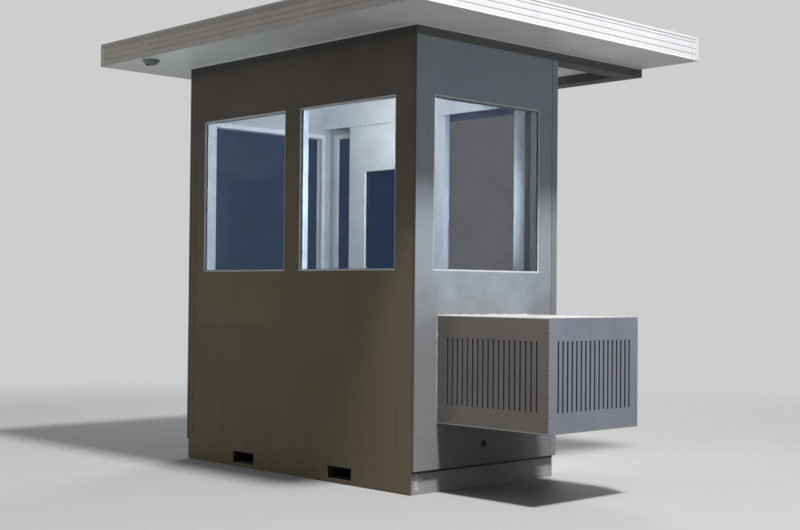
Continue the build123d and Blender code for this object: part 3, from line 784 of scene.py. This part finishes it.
def screwHead(radius, height, outward, segments=12):
    # a low dome on a thin washer
    washer, foot = radius * 1.35, -0.0004
    profile = [(0, height), (radius * 0.45, height * 0.93), (radius * 0.8, height * 0.62),
               (radius, height * 0.25), (washer, height * 0.2), (washer, foot), (0, foot)]
    return lathe((0, 0, 0), outward, profile, segments)


def spacedAlong(start, end, pitch):
    start, end = np.array(start, float), np.array(end, float)
    count = max(2, int(round(np.linalg.norm(end - start) / pitch)))
    share = (np.arange(count) + 0.5) / count
    return start + share[:, None] * (end - start)


def screwRow(start, end, outward, screw, pitch):
    # screw is the radius and height of a head
    return copies(screwHead(*screw, outward), spacedAlong(start, end, pitch))


def addScrews(name, rows, material=zincSteel):
    # each row is its start, end, outward direction, head (radius and height) and pitch
    addPiece(name, joined([screwRow(*row) for row in rows]), material)


def faceCorners(low, high, outward, inset=0.0):
    # the corners of a box's outward face, moved in by the inset, from its low left one round
    middle = (low + high) / 2 + outward * np.abs(outward @ (high - low)) / 2
    right = np.cross(upward, outward)
    halves = np.array((abs(right @ (high - low)), high[2] - low[2])) / 2 - inset
    signs = np.array([(-1, -1), (1, -1), (1, 1), (-1, 1)], float) * halves
    return middle + signs[:, :1] * right + signs[:, 1:] * upward


sunk = 0.0002    # how far a thin piece starts inside the face that it lies on


# windows: a slim gasket on the outer face of every pane, and screws in the flange indoors

windowOutward = {
    "front_left_window": -along, "front_right_window": -along,
    "right_window": across, "left_window": -across, "back_window": along,
}
dressing = dict(tuck=0.0022, reach=0.0032, proud=0.0022, lip=0.0045, beadDeep=0.018,
                beadWide=0.0036, beadRound=0.0022, sealWide=0.0028, sealLap=0.0006,
                sealThick=0.0016, sealThin=0.0006, screwInset=0.012, screwPitch=0.19,
                screw=(0.0034, 0.0022))


def gasketProfile(tuck, reach, proud):
    # a low wedge that starts under the bead and thins out onto the glass
    return [(-tuck, -sunk), (-tuck, proud), (-tuck - reach * 0.45, proud),
            (-tuck - reach, proud * 0.25), (-tuck - reach, -sunk)]


def innerBeadProfile(lip, deep, wide, rounded):
    # a snap-in strip against the inner face of the glass, its room edge rounded over
    edge = lip + wide
    return [(-lip, -sunk), (-lip, deep), (-lip - wide * 0.4, deep),
            (-lip - wide * 0.8, deep - rounded), (-edge, deep * 0.3), (-edge, -sunk)]


outerGasket = gasketProfile(dressing["tuck"], dressing["reach"], dressing["proud"])
innerBead = innerBeadProfile(dressing["lip"], dressing["beadDeep"], dressing["beadWide"],
                             dressing["beadRound"])
sealStart = dressing["lip"] + dressing["beadWide"] - dressing["sealLap"]
sealEnd = sealStart + dressing["sealWide"] + dressing["sealLap"]
sealProfile = [(-sealStart, -sunk), (-sealStart, dressing["sealThick"]),
               (-sealEnd, dressing["sealThin"]), (-sealEnd, -sunk)]
flangeScrews, innerSeals = [], []
for name, outward in windowOutward.items():
    outer, inner = (faceCorners(*boxOf(f"{name}_pane"), way) for way in (outward, -outward))
    addPiece(f"{name}_gasket", carry(outer, outerGasket, outward, True), paleSealant)
    addPiece(f"{name}_inner_bead", carry(inner, innerBead, -outward, True), trimWhite)
    # the seals run along the two jambs only
    innerSeals += [carry(inner[jamb], sealProfile, -outward) for jamb in ([1, 2], [3, 0])]
    if name != "back_window":
        corners = faceCorners(*boxOf(f"{name}_frame"), -outward, dressing["screwInset"])
        flangeScrews += [(start, end, -outward, dressing["screw"], dressing["screwPitch"])
                         for start, end in zip(corners, np.roll(corners, -1, 0))]
addScrews("flange_screws", flangeScrews)
addPiece("inner_seals", joined(innerSeals), rubber)
print("windows dressed")


# wall seams, the trim under the soffit and the panel joints of the soffit

seam = dict(half=0.0021, topHalf=0.00105, proud=0.0007, foot=-0.001, lift=0.004)
seamProfile = ridge(seam["half"], seam["topHalf"], seam["foot"], seam["proud"])
seamBottom = rightLow[2] + seam["lift"]
cornerLeg = endFace + backLow[0]
seamPlaces = [
    (frontLow[0] + cornerLeg, frontFace, -along), (frontHigh[0], frontFace, -along),
    (frontLow[0], frontFace, -along), (endFace, backFace - cornerLeg, across),
    (-endFace, backFace - cornerLeg, -across), (endFace - cornerLeg, backFace, along),
    (-endFace + cornerLeg, backFace, along),
]
seams = uprights(seamPlaces, seamBottom, wallTop, seamProfile)
addPiece("wall_seams", seams, seamFillAndGapShade)

eave = dict(cove=0.0055, into=0.0005, fasciaThick=0.021, jointHalf=0.013, jointThick=0.0022)
cove, into = eave["cove"], eave["into"]
coveProfile = [(-0.001, into), (cove, into), (cove, -0.002), (cove * 0.55, -cove * 0.6),
               (0.002, -cove), (-0.001, -cove)]
eaveBack = roofBack - eave["fasciaThick"]
eavePath = [(-endFace, eaveBack, soffitZ), (-endFace, frontFace, soffitZ),
            (endFace, frontFace, soffitZ), (endFace, eaveBack, soffitZ)]
addPiece("eave_trim", carry(eavePath, coveProfile, upward), soffitPaint)

jointHalf, jointThick = eave["jointHalf"], eave["jointThick"]
jointProfile = [(-jointHalf, into), (-jointHalf, -jointThick * 0.4),
                (-jointHalf * 0.7, -jointThick), (jointHalf * 0.7, -jointThick),
                (jointHalf, -jointThick * 0.4), (jointHalf, into)]
jointRuns = [
    ((endFace + cove, backFace), (roofRight - eave["fasciaThick"], backFace)),
    ((roofLeft + eave["fasciaThick"], backFace), (-endFace - cove, backFace)),
    ((0.0, roofFront + eave["fasciaThick"]), (0.0, frontFace - cove)),
]
joints = strips([[(*end, soffitZ) for end in run] for run in jointRuns], jointProfile, upward)
addPiece("soffit_joints", joints, soffitPaint)
print("seams and soffit done")


# fascia: folded cap, lower bead, groove strips, corner angles, lap covers and screws

fascia = dict(cap=0.026, capDrop=0.013, capReturn=0.009, sheet=0.0016, beadRadius=0.0046,
              beadInset=0.001, cornerLeg=0.024, cornerGap=0.001, lapHalf=0.008, lapProud=0.0012,
              sheetLength=2.438, screwPitch=0.42, screw=(0.0042, 0.0026), screwFoot=0.0001,
              grooveSpacing=0.036, stripWide=0.0086, stripDeep=0.0061, stripInset=0.0010)
cap, drop, sheet = fascia["cap"], fascia["capDrop"], fascia["sheet"]
roofCorners = np.array([(roofLeft, roofFront, roofTop), (roofRight, roofFront, roofTop),
                        (roofRight, roofBack, roofTop), (roofLeft, roofBack, roofTop)])
capProfile = [(sheet, -drop), (sheet, sheet), (-cap, sheet), (-cap, -fascia["capReturn"]),
              (-cap + sheet, -fascia["capReturn"]), (-cap + sheet, sunk), (sunk, sunk),
              (sunk, -drop)]
addPiece("fascia_cap", carry(roofCorners, capProfile, upward, True), fasciaPaintShadedFront)

# the lower bead runs round the ends and the back, not along the front
beadRadius = fascia["beadRadius"]
lowCorners = roofCorners - upward * (roofTop - soffitZ - beadRadius)
lowBead = carry(lowCorners[[1, 2, 3, 0]], roundProfile(beadRadius, (-fascia["beadInset"], 0)),
                upward)
addPiece("fascia_bead", lowBead, fasciaPaintShadedFront)

stripHalf = fascia["stripWide"] / 2
stripBack, stripFace = -fascia["stripDeep"], -fascia["stripInset"]
stripProfile = [(stripBack, -stripHalf), (stripFace, -stripHalf), (stripFace, stripHalf),
                (stripBack, stripHalf)]
middleRow = (soffitZ - roofTop) / 2
grooves = [roofCorners + upward * (middleRow + row * fascia["grooveSpacing"])
           for row in (-1, 0, 1)]
addPiece("fascia_groove_strips", strips(grooves, stripProfile, upward, True), fasciaPaintShadedFront)

sheetLow, leg = soffitZ + 2 * beadRadius, fascia["cornerLeg"]
sheetHigh = roofTop - drop - fascia["cornerGap"]
legProfile = [(sunk, sheetLow), (sheet, sheetLow), (sheet, sheetHigh), (sunk, sheetHigh)]
legPaths = []
for cornerX, outX in ((roofLeft, -1), (roofRight, 1)):
    for cornerY, outY in ((roofFront, -1), (roofBack, 1)):
        legPath = np.array([(cornerX - outX * leg, cornerY, 0), (cornerX, cornerY, 0),
                            (cornerX, cornerY - outY * leg, 0)])
        legPaths.append(legPath[::-1] if outX * outY > 0 else legPath)
addPiece("fascia_corners", strips(legPaths, legProfile, upward), fasciaPaintShadedFront)

lapHalf, sheetLength = fascia["lapHalf"], fascia["sheetLength"]
lapProfile = ridge(lapHalf, lapHalf * 0.8, sunk, fascia["lapProud"])
lapPlaces = [
    (roofRight - sheetLength, roofFront, -along), (roofLeft + sheetLength, roofBack, along),
    (roofRight, roofFront + sheetLength, across), (roofLeft, roofBack - sheetLength, -across),
]
laps = uprights(lapPlaces, sheetLow, roofTop - drop, lapProfile)
addPiece("fascia_laps", laps, fasciaPaintShadedFront)

capScrews = []
for i, outward in enumerate((-along, across, along, -across)):
    level = upward * (sheet - fascia["screwFoot"]) - outward * cap / 2
    capScrews.append((roofCorners[i] + level, roofCorners[(i + 1) % 4] + level, upward,
                      fascia["screw"], fascia["screwPitch"]))
addScrews("cap_screws", capScrews)

deck = dict(lapHalf=0.0275, lapThick=0.0022, lapFoot=-0.0004, spacing=0.62, endClear=0.2,
            edgeClear=0.004)
deckLow, deckHigh = boxOf("roof_panel")
deckProfile = ridge(deck["lapHalf"], deck["lapHalf"] * 0.9, deck["lapFoot"], deck["lapThick"])
deckRows = np.arange(deckLow[0] + deck["spacing"], deckHigh[0] - deck["endClear"], deck["spacing"])
deckRuns = [((x, deckLow[1] + deck["edgeClear"], deckHigh[2]),
             (x, deckHigh[1] - deck["edgeClear"], deckHigh[2])) for x in deckRows]
addPiece("roof_laps", strips(deckRuns, deckProfile, upward), deckPaint)
print("roof trimmed")


# unit guard: hem, rivets and the uneven sealant where it meets the end wall

guard = dict(hem=0.0028, hemMiddle=(-0.0015, 0.002), hemStart=0.001, rivet=(0.0042, 0.0022),
             rivetInset=0.013, rivetPitch=0.11, sealPast=0.004, sealThick=(0.0014, 0.0030),
             sealWide=(0.0014, 0.0036), smearThick=(0.0004, 0.0009), smearWide=(0.0008, 0.0075),
             screenStart=0.004, screenBack=0.003, screenLow=0.085, screenHigh=0.095,
             screenGap=0.0015, screenThick=0.0012, screenEdge=0.012)
nearSide, farSide, guardBottom, guardTop = guardLow[1], guardHigh[1], guardLow[2], guardHigh[2]
frontX = guardHigh[0]


def roundGuard(start, inset, level):
    # along three sides of the guard, from the wall and back to it
    return [(endFace + start, nearSide + inset, level), (frontX - inset, nearSide + inset, level),
            (frontX - inset, farSide - inset, level), (endFace + start, farSide - inset, level)]


hem = carry(roundGuard(guard["hemStart"], 0.0, guardBottom),
            roundProfile(guard["hem"], guard["hemMiddle"]), upward)
addPiece("guard_hem", hem, guardPaint)

inset = guard["rivetInset"]
lowest, highest = guardBottom + 3 * inset, guardTop - inset
rivetPlaces = [
    (frontX, nearSide + inset, across), (frontX, farSide - inset, across),
    (frontX - inset, nearSide, -along), (frontX - inset, farSide, along),
    (endFace + inset, nearSide, -along), (endFace + inset, farSide, along),
]
rivetRuns = [((x, y, lowest), (x, y, highest), outward) for x, y, outward in rivetPlaces]
rivetRuns.append(((frontX - inset, nearSide + inset, guardTop),
                  (frontX - inset, farSide - inset, guardTop), upward))
addScrews("guard_rivets", [(*run, guard["rivet"], guard["rivetPitch"]) for run in rivetRuns],
          guardLitAndShadedSides)

hand = np.random.default_rng(11)
past = guard["sealPast"]
sealLines = [
    ((endFace, nearSide, guardBottom - past), (endFace, nearSide, guardTop + past), -along),
    ((endFace, farSide, guardBottom - past), (endFace, farSide, guardTop + past), along),
    ((endFace, nearSide - past, guardTop), (endFace, farSide + past, guardTop), upward),
]
guardSeals = [bead(start, end, across, side, thick, wide, hand)
              for thick, wide in ((guard["sealThick"], guard["sealWide"]),
                                  (guard["smearThick"], guard["smearWide"]))
              for start, end, side in sealLines]
addPiece("guard_sealant", joined(guardSeals), paleSealant, sharp=60)

# fine insect screen just behind the slots of the guard, in a shallow folded edge, near black
# between its wires as painted shade
gap, thin, edge = guard["screenGap"], guard["screenThick"], guard["screenEdge"]
low, high = guardBottom + guard["screenLow"], guardTop - guard["screenHigh"]
screenProfile = [(-gap, low), (-gap, high), (-gap - thin * 3, high), (-gap - thin * 3, high - edge),
                 (-gap - thin, high - edge), (-gap - thin, low + edge),
                 (-gap - thin * 3, low + edge), (-gap - thin * 3, low)]
screen = carry(roundGuard(guard["screenStart"], guard["screenBack"], 0), screenProfile, upward)
addPiece("guard_screen", screen, insectMeshOverShade)
print("guard dressed")


# skid: smears of filler on the near end, dark strips of painted shade in the panel gaps, and bolts

railLow, railHigh = boxOf("base_cross_rails")
railFace, nearY = railHigh[0], railLow[1]
skid = dict(bolt=(0.009, 0.007), boltSides=6, boltLevel=0.098, boltInset=0.016, smearSteps=60,
            smearKnots=14, gapEnd=0.002, gapDeep=0.016, gapReach=(0.004, 0.003))
smearHand = np.random.default_rng(5)
# each run is from and to, as y from the near corner and z, then side, half thickness, half width
smearRuns = [
    ((0.006, 0.074), (0.085, 0.082), upward, (0.0012, 0.0030), (0.007, 0.014)),
    ((0.034, 0.118), (0.040, 0.014), along, (0.0010, 0.0026), (0.009, 0.018)),
    ((0.030, 0.108), (0.052, 0.096), upward, (0.0010, 0.0022), (0.010, 0.020)),
    ((0.038, 0.030), (0.056, 0.010), upward, (0.0010, 0.0026), (0.006, 0.013)),
]
smears = [bead((railFace, nearY + start[0], start[1]), (railFace, nearY + end[0], end[1]), across,
               side, thick, wide, smearHand, skid["smearSteps"], skid["smearKnots"])
          for start, end, side, thick, wide in smearRuns]
addPiece("skid_filler", joined(smears), paleSealant, sharp=60)

# dark strips under the end panels: painted shade in the gap above the skid
gapProfile = [(0.0, -skid["gapDeep"]), (0.0, 0.0), (skid["gapReach"][0], 0.0),
              (skid["gapReach"][1], -skid["gapDeep"])]
gapLevel, gapY = rightLow[2], nearY + skid["gapEnd"]
gapRuns = [((railFace, gapY, gapLevel), (railFace, -gapY, gapLevel)),
           ((-railFace, -gapY, gapLevel), (-railFace, gapY, gapLevel))]
addPiece("panel_gap_shade_strips", strips(gapRuns, gapProfile, upward), seamFillAndGapShade)

boltY = nearY + skid["boltInset"]
bolts = [copies(screwHead(*skid["bolt"], side * across, skid["boltSides"]),
                [(side * railFace, y, skid["boltLevel"]) for y in (boltY, -boltY)])
         for side in (1, -1)]
addPiece("skid_bolts", joined(bolts), zincSteel, sharp=20)
print("skid dressed")


# small round fittings

def drawRound(name, centre, axis, profile, material, replaced=None, segments=48):
    piece = addPiece(name, lathe(centre, axis, profile, segments), material)
    if replaced:
        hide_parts(replaced)


fixtureLow, fixtureHigh = boxOf("soffit_fixture")
fixture = dict(plate=0.014, domeRadius=0.044, domeSteps=14, lensTilt=52, lensDepth=0.96)
plate, domeRadius = fixture["plate"], fixture["domeRadius"]
plateRadius = (fixtureHigh[0] - fixtureLow[0]) / 2
fixtureDrop = fixtureHigh[2] - fixtureLow[2]
fixtureCentre = np.array((*(fixtureLow + fixtureHigh)[:2] / 2, fixtureHigh[2]))
plateProfile = [(0, -0.0005), (plateRadius, -0.0005), (plateRadius, plate * 0.7),
                (plateRadius * 0.97, plate * 0.92), (plateRadius * 0.9, plate),
                (domeRadius + 0.003, plate), (domeRadius + 0.003, plate + 0.004),
                (domeRadius - 0.001, plate + 0.0045), (domeRadius - 0.001, plate - 0.002),
                (0, plate - 0.002)]
drawRound("soffit_fixture_body", fixtureCentre, -upward, plateProfile, greyPlastic,
          "soffit_fixture")
# the dome is a quarter of an ellipse: (R cos t, plate + D sin t), with D what is left of the drop
bend = np.linspace(0, math.pi / 2, fixture["domeSteps"])[:-1]
domeDeep = fixtureDrop - plate
domeCurve = np.stack([domeRadius * np.cos(bend), plate + domeDeep * np.sin(bend)], -1).tolist()
domeProfile = [(0, plate - 0.001), (domeRadius, plate - 0.001)] + domeCurve + [(0, fixtureDrop)]
drawRound("soffit_fixture_dome", fixtureCentre, -upward, domeProfile, greyPlastic)
tilt = math.radians(fixture["lensTilt"])
lensPlace = fixtureCentre - along * domeRadius * math.cos(tilt) * fixture["lensDepth"]
lensPlace -= upward * (plate + domeDeep * math.sin(tilt) * fixture["lensDepth"])
lensAxis = np.array((0.0, -math.cos(tilt) / domeRadius, -math.sin(tilt) / domeDeep))
lensProfile = [(0, -0.004), (0.013, -0.004), (0.013, 0.002), (0.011, 0.0035), (0.009, 0.0012),
               (0, 0.0022)]
drawRound("soffit_fixture_lens", lensPlace, lensAxis / np.linalg.norm(lensAxis), lensProfile,
          darkLens, segments=32)

grommetLow, grommetHigh = boxOf("wall_grommet")
ringRadius = (grommetHigh[1] - grommetLow[1]) / 2
ringCentre = (endFace, *(grommetLow + grommetHigh)[1:] / 2)
ringShares = [(0, -0.0005), (1, -0.0005), (1, 0.0022), (0.9, 0.0046), (0.62, 0.0086),
              (0.5, 0.0088), (0.46, 0.006), (0.46, 0.0008), (0, 0.0008)]
drawRound("wall_grommet_ring", ringCentre, across,
          [(share * ringRadius, height) for share, height in ringShares], rubber,
          "wall_grommet")

lampLow, lampHigh = boxOf("ceiling_light")
lampRadius = (lampHigh[0] - lampLow[0]) / 2
rimSteps = [(-0.002, -0.0005), (0.012, -0.0005), (0.012, 0.004), (0.009, 0.009), (0.004, 0.0115),
            (-0.0005, 0.012), (-0.002, 0.010), (-0.002, -0.0005)]
drawRound("ceiling_light_rim", (0, 0, ceilingZ), -upward,
          [(lampRadius + step, height) for step, height in rimSteps], trimWhite,
          segments=64)
print("fittings done")


# sliding door and doorway

door = dict(bead=0.016, paneDeep=0.016, rimIndoors=0.0024, rimOutdoors=0.0012, sweepHalf=0.005,
            sweepGap=0.002, sweepLap=0.001, endClear=0.004, bulb=0.0042, bulbHalf=0.009,
            footRadius=0.017, footThick=0.0035, footInset=0.003)
paneLow, paneHigh = boxOf("door_pane")
holeLow, holeHigh = (np.array((pane[0], leaf[1], pane[2]))
                     for pane, leaf in ((paneLow, leafLow), (paneHigh, leafHigh)))
beadShapes, gasketShapes = [], []
gasketSteps = [(-0.0025, 0.0), (-0.0025, 0.0022), (-0.005, 0.0016), (-0.0062, 0.0)]
for outward, rim in ((-along, door["rimIndoors"]), (along, door["rimOutdoors"])):
    ring = faceCorners(holeLow, holeHigh, outward)
    reach, depth = door["bead"] * 0.55, door["paneDeep"] - sunk
    beadProfile = [(reach, -0.0005), (reach, rim * 0.6), (door["bead"] * 0.4, rim), (-0.001, rim),
                   (-0.003, -0.004), (-0.003, -depth), (0.0005, -depth), (0.0005, -0.0005)]
    beadShapes.append(carry(ring, beadProfile, outward, True))
    gasketShapes.append(carry(ring - outward * door["paneDeep"], gasketSteps, outward, True))
addPiece("door_beads", joined(beadShapes), trimWhite, "door")
addPiece("door_gaskets", joined(gasketShapes), rubber, "door")

leafY, clear = (leafLow[1] + leafHigh[1]) / 2, door["endClear"]
sweepHalf, sweepTop = door["sweepHalf"], leafLow[2] - floorTop + door["sweepLap"]
sweepProfile = [(-sweepHalf, sweepTop), (-sweepHalf * 0.6, door["sweepGap"]),
                (sweepHalf * 0.6, door["sweepGap"]), (sweepHalf, sweepTop)]
sweep = carry([(leafLow[0] + clear, leafY, floorTop), (leafHigh[0] - clear, leafY, floorTop)],
              sweepProfile, upward)
addPiece("door_sweep", sweep, rubber, "door")
bulb, bulbHalf = door["bulb"], door["bulbHalf"]
bulbProfile = [(-bulbHalf, -0.0005), (bulbHalf, -0.0005), (bulbHalf / 1.5, bulb * 0.75),
               (0.0, bulb), (-bulbHalf / 1.5, bulb * 0.75)]
edgeSeal = carry([(leafHigh[0], leafY, leafLow[2] + clear),
                  (leafHigh[0], leafY, leafHigh[2] - clear)], bulbProfile, across)
addPiece("door_edge_seal", edgeSeal, trimWhite, "door")

pullLow, pullHigh = boxOf("door_pull")
footRadius, footThick = door["footRadius"], door["footThick"]
footProfile = [(0, footThick), (footRadius * 0.85, footThick), (footRadius, footThick * 0.4),
               (footRadius, -0.0003), (0, -0.0003)]
footPlaces = [((pullLow[0] + pullHigh[0]) / 2, leafLow[1], level)
              for level in (pullLow[2] + door["footInset"], pullHigh[2] - door["footInset"])]
addPiece("pull_feet", copies(lathe((0, 0, 0), -along, footProfile, 28), footPlaces),
         drawnAluminium, "door")

doorway = dict(screw=(0.0045, 0.0024), headerEdge=0.022, headerEnd=0.03, headerPitch=0.26,
               postEdge=0.02, postEnd=0.05, postPitch=0.4, sillScrew=(0.0045, 0.0018),
               sillEdge=0.006, sillEnd=0.03, sillPitch=0.2)
headerLow, headerHigh = boxOf("door_header")
postLow, postHigh = boxOf("door_post")
sillLow, sillHigh = boxOf("door_sill")
headerRows = [((headerLow[0] + doorway["headerEnd"], headerLow[1], level),
               (headerHigh[0] - doorway["headerEnd"], headerLow[1], level), -along,
               doorway["screw"], doorway["headerPitch"])
              for level in (headerLow[2] + doorway["headerEdge"],
                            headerHigh[2] - doorway["headerEdge"])]
postX, postEnd = postHigh[0] - doorway["postEdge"], doorway["postEnd"]
headerRows.append(((postX, postLow[1], postLow[2] + postEnd),
                   (postX, postLow[1], postHigh[2] - postEnd), -along, doorway["screw"],
                   doorway["postPitch"]))
addScrews("header_screws", headerRows)
addScrews("sill_screws", [((sillLow[0] + doorway["sillEnd"], y, sillHigh[2]),
                           (sillHigh[0] - doorway["sillEnd"], y, sillHigh[2]), upward,
                           doorway["sillScrew"], doorway["sillPitch"])
                          for y in (sillLow[1] + doorway["sillEdge"],
                                    sillHigh[1] - doorway["sillEdge"])])

# a small angle round the foot of the walls indoors, clear of the door's path
footAngle = dict(height=0.045, thick=0.002, toe=0.02, doorClear=0.012)
toe, height, thick = footAngle["toe"], footAngle["height"], footAngle["thick"]
angleEnd = headerLow[1] - footAngle["doorClear"]
anglePath = [(-roomX, angleEnd, floorTop), (-roomX, -roomFront, floorTop),
             (roomX, -roomFront, floorTop), (roomX, angleEnd, floorTop)]
angleProfile = [(0.0, 0.0), (0.0, height), (-thick, height), (-thick, thick), (-toe, thick),
                (-toe, 0.0)]
addPiece("floor_angle", carry(anglePath, angleProfile, upward), drawnAluminium)
print("door dressed")


# camera, lamps, floor and background

scene = bpy.context.scene
scene.view_settings.view_transform = "Standard"
viewpoint = dict(place=(6.191, -5.606, 1.109), ahead=(-0.7232, 0.6907), pitch=1.139, roll=0.517,
                 lens=59.39, sensor=36.0)


def makeCamera():
    # level with the ground first, then pitched up, then rolled about the line of sight
    level = Vector((*viewpoint["ahead"], 0)).normalized()
    right = level.cross(Vector((0, 0, 1)))
    pitch, roll = math.radians(viewpoint["pitch"]), math.radians(viewpoint["roll"])
    ahead = level * math.cos(pitch) + Vector((0, 0, math.sin(pitch)))
    top = right.cross(ahead)
    turnedRight = right * math.cos(roll) + top * math.sin(roll)
    turnedTop = turnedRight.cross(ahead)
    turn = Matrix((turnedRight, turnedTop, -ahead)).transposed().to_4x4()
    data = bpy.data.cameras.new("camera")
    data.sensor_width, data.lens = viewpoint["sensor"], viewpoint["lens"]
    camera = bpy.data.objects.new("camera", data)
    camera.matrix_world = Matrix.Translation(viewpoint["place"]) @ turn
    scene.collection.objects.link(camera)
    scene.camera = camera


lamps = {
    "keyLamp": dict(place=(6.0, -1.6, 12.6), aim=(0.9, 0.0, 1.2), size=1.5, power=2600,
                    colour=(0.98, 0.99, 1.0), mirrored=True),
    "fillLamp": dict(place=(-4.0, -7.0, 3.0), aim=(0.0, -0.6, 1.0), size=3.5, power=75,
                     colour=(1.0, 0.93, 0.80)),
    "backLamp": dict(place=(-4.5, 7.0, 6.0), aim=(0.0, 0.6, 1.2), size=3.0, power=420,
                     colour=(0.97, 0.98, 1.0)),
    "soffitLamp": dict(place=(-0.55, -0.92, 0.9), aim=(-0.55, -0.86, 2.57), size=1.0, power=1.0,
                       colour=(0.80, 0.96, 1.0), spread=80),
    "roomLamp": dict(place=(0.0, 0.0, float(lampLow[2]) - 0.1), aim=(0.0, 0.0, 0.0), size=0.2,
                     power=23, colour=(1.0, 0.90, 0.76), kind="POINT"),
    "windowLamp": dict(place=(0.93, -0.02, 1.7), aim=(-1.0, -0.02, 1.6), size=0.7, power=43,
                       colour=(0.76, 0.90, 1.0), spread=168),
    "wallLamp": dict(place=(0.3, -0.50, 1.55), aim=(0.3, 1.0, 1.5), size=0.5, power=7,
                     colour=(1.0, 0.88, 0.68)),
}


def makeLamps():
    for name, lamp in lamps.items():
        data = bpy.data.lights.new(name, lamp.get("kind", "AREA"))
        data.energy, data.color = lamp["power"], lamp["colour"]
        if data.type == "AREA":
            data.shape, data.size = "DISK", lamp["size"]
            data.spread = math.radians(lamp.get("spread", 180))
        else:
            data.shadow_soft_size = lamp["size"] / 2
        item = bpy.data.objects.new(name, data)
        away = Vector(lamp["aim"]) - Vector(lamp["place"])
        item.location = lamp["place"]
        item.rotation_euler = away.to_track_quat("-Z", "Y").to_euler()
        item.visible_camera = item.visible_transmission = False
        item.visible_glossy = lamp.get("mirrored", False)
        scene.collection.objects.link(item)


backdrop = dict(colour=(0.61, 0.615, 0.62, 1.0), ambient=(0.90, 0.96, 1.06, 1.0), strength=0.21,
                floor=(0.37, 0.365, 0.36, 1.0), bounce=(0.17, 0.17, 0.172, 1.0), rough=0.8,
                gloss=0.2, fadeStart=3.5, fadeEnd=9.0, floorRadius=60.0, floorSides=96)


def seenDirectly(tree):
    # 1 for rays from the camera, or mirrored or passed on by glass
    path = addNode(tree, "ShaderNodeLightPath").outputs
    either = mathOf(tree, "MAXIMUM", path["Is Camera Ray"], path["Is Glossy Ray"])
    return mathOf(tree, "MAXIMUM", either, path["Is Transmission Ray"])


def mixShaders(tree, share, first, second):
    return addNode(tree, "ShaderNodeMixShader", {0: share, 1: first, 2: second}).outputs[0]


def makeWorld():
    world = bpy.data.worlds.new("studio")
    scene.world = world
    world.use_nodes = True
    tree = world.node_tree
    tree.nodes.clear()
    soft, shown = (addNode(tree, "ShaderNodeBackground", {"Color": colour, "Strength": strength})
                   for colour, strength in ((backdrop["ambient"], backdrop["strength"]),
                                            (backdrop["colour"], 1.0)))
    both = mixShaders(tree, seenDirectly(tree), soft.outputs[0], shown.outputs[0])
    addNode(tree, "ShaderNodeOutputWorld", {"Surface": both})


def makeFloor():
    # a wide disc that fades into the backdrop's colour away from the booth
    sides = backdrop["floorSides"]
    turn = np.linspace(0, 2 * math.pi, sides, endpoint=False)
    rim = np.stack([np.cos(turn), np.sin(turn), np.zeros(sides)], -1) * backdrop["floorRadius"]
    mesh = bpy.data.meshes.new("studioFloor")
    mesh.from_pydata(rim.tolist(), [], [list(range(sides))])
    floor = bpy.data.objects.new("studioFloor", mesh)
    scene.collection.objects.link(floor)
    material, tree, shader = newMaterial("studioFloor")
    colour = mixColour(tree, seenDirectly(tree), backdrop["bounce"], backdrop["floor"])
    setInputs(tree, shader, {"Base Color": colour, "Roughness": backdrop["rough"],
                             "Specular IOR Level": backdrop["gloss"]})
    distance = vectorOf(tree, "LENGTH", objectPlace(tree))["Value"]
    fade = addNode(tree, "ShaderNodeMapRange", {
        "Value": distance, "From Min": backdrop["fadeStart"], "From Max": backdrop["fadeEnd"]},
        interpolation_type="SMOOTHERSTEP", clamp=True).outputs[0]
    glow = addNode(tree, "ShaderNodeEmission", {"Color": backdrop["colour"], "Strength": 1.0})
    both = mixShaders(tree, times(tree, fade, seenDirectly(tree)), shader.outputs[0],
                      glow.outputs[0])
    setInputs(tree, tree.nodes["Material Output"], {"Surface": both})
    mesh.materials.append(material)


makeCamera()
makeLamps()
makeWorld()
makeFloor()
print("studio set up")
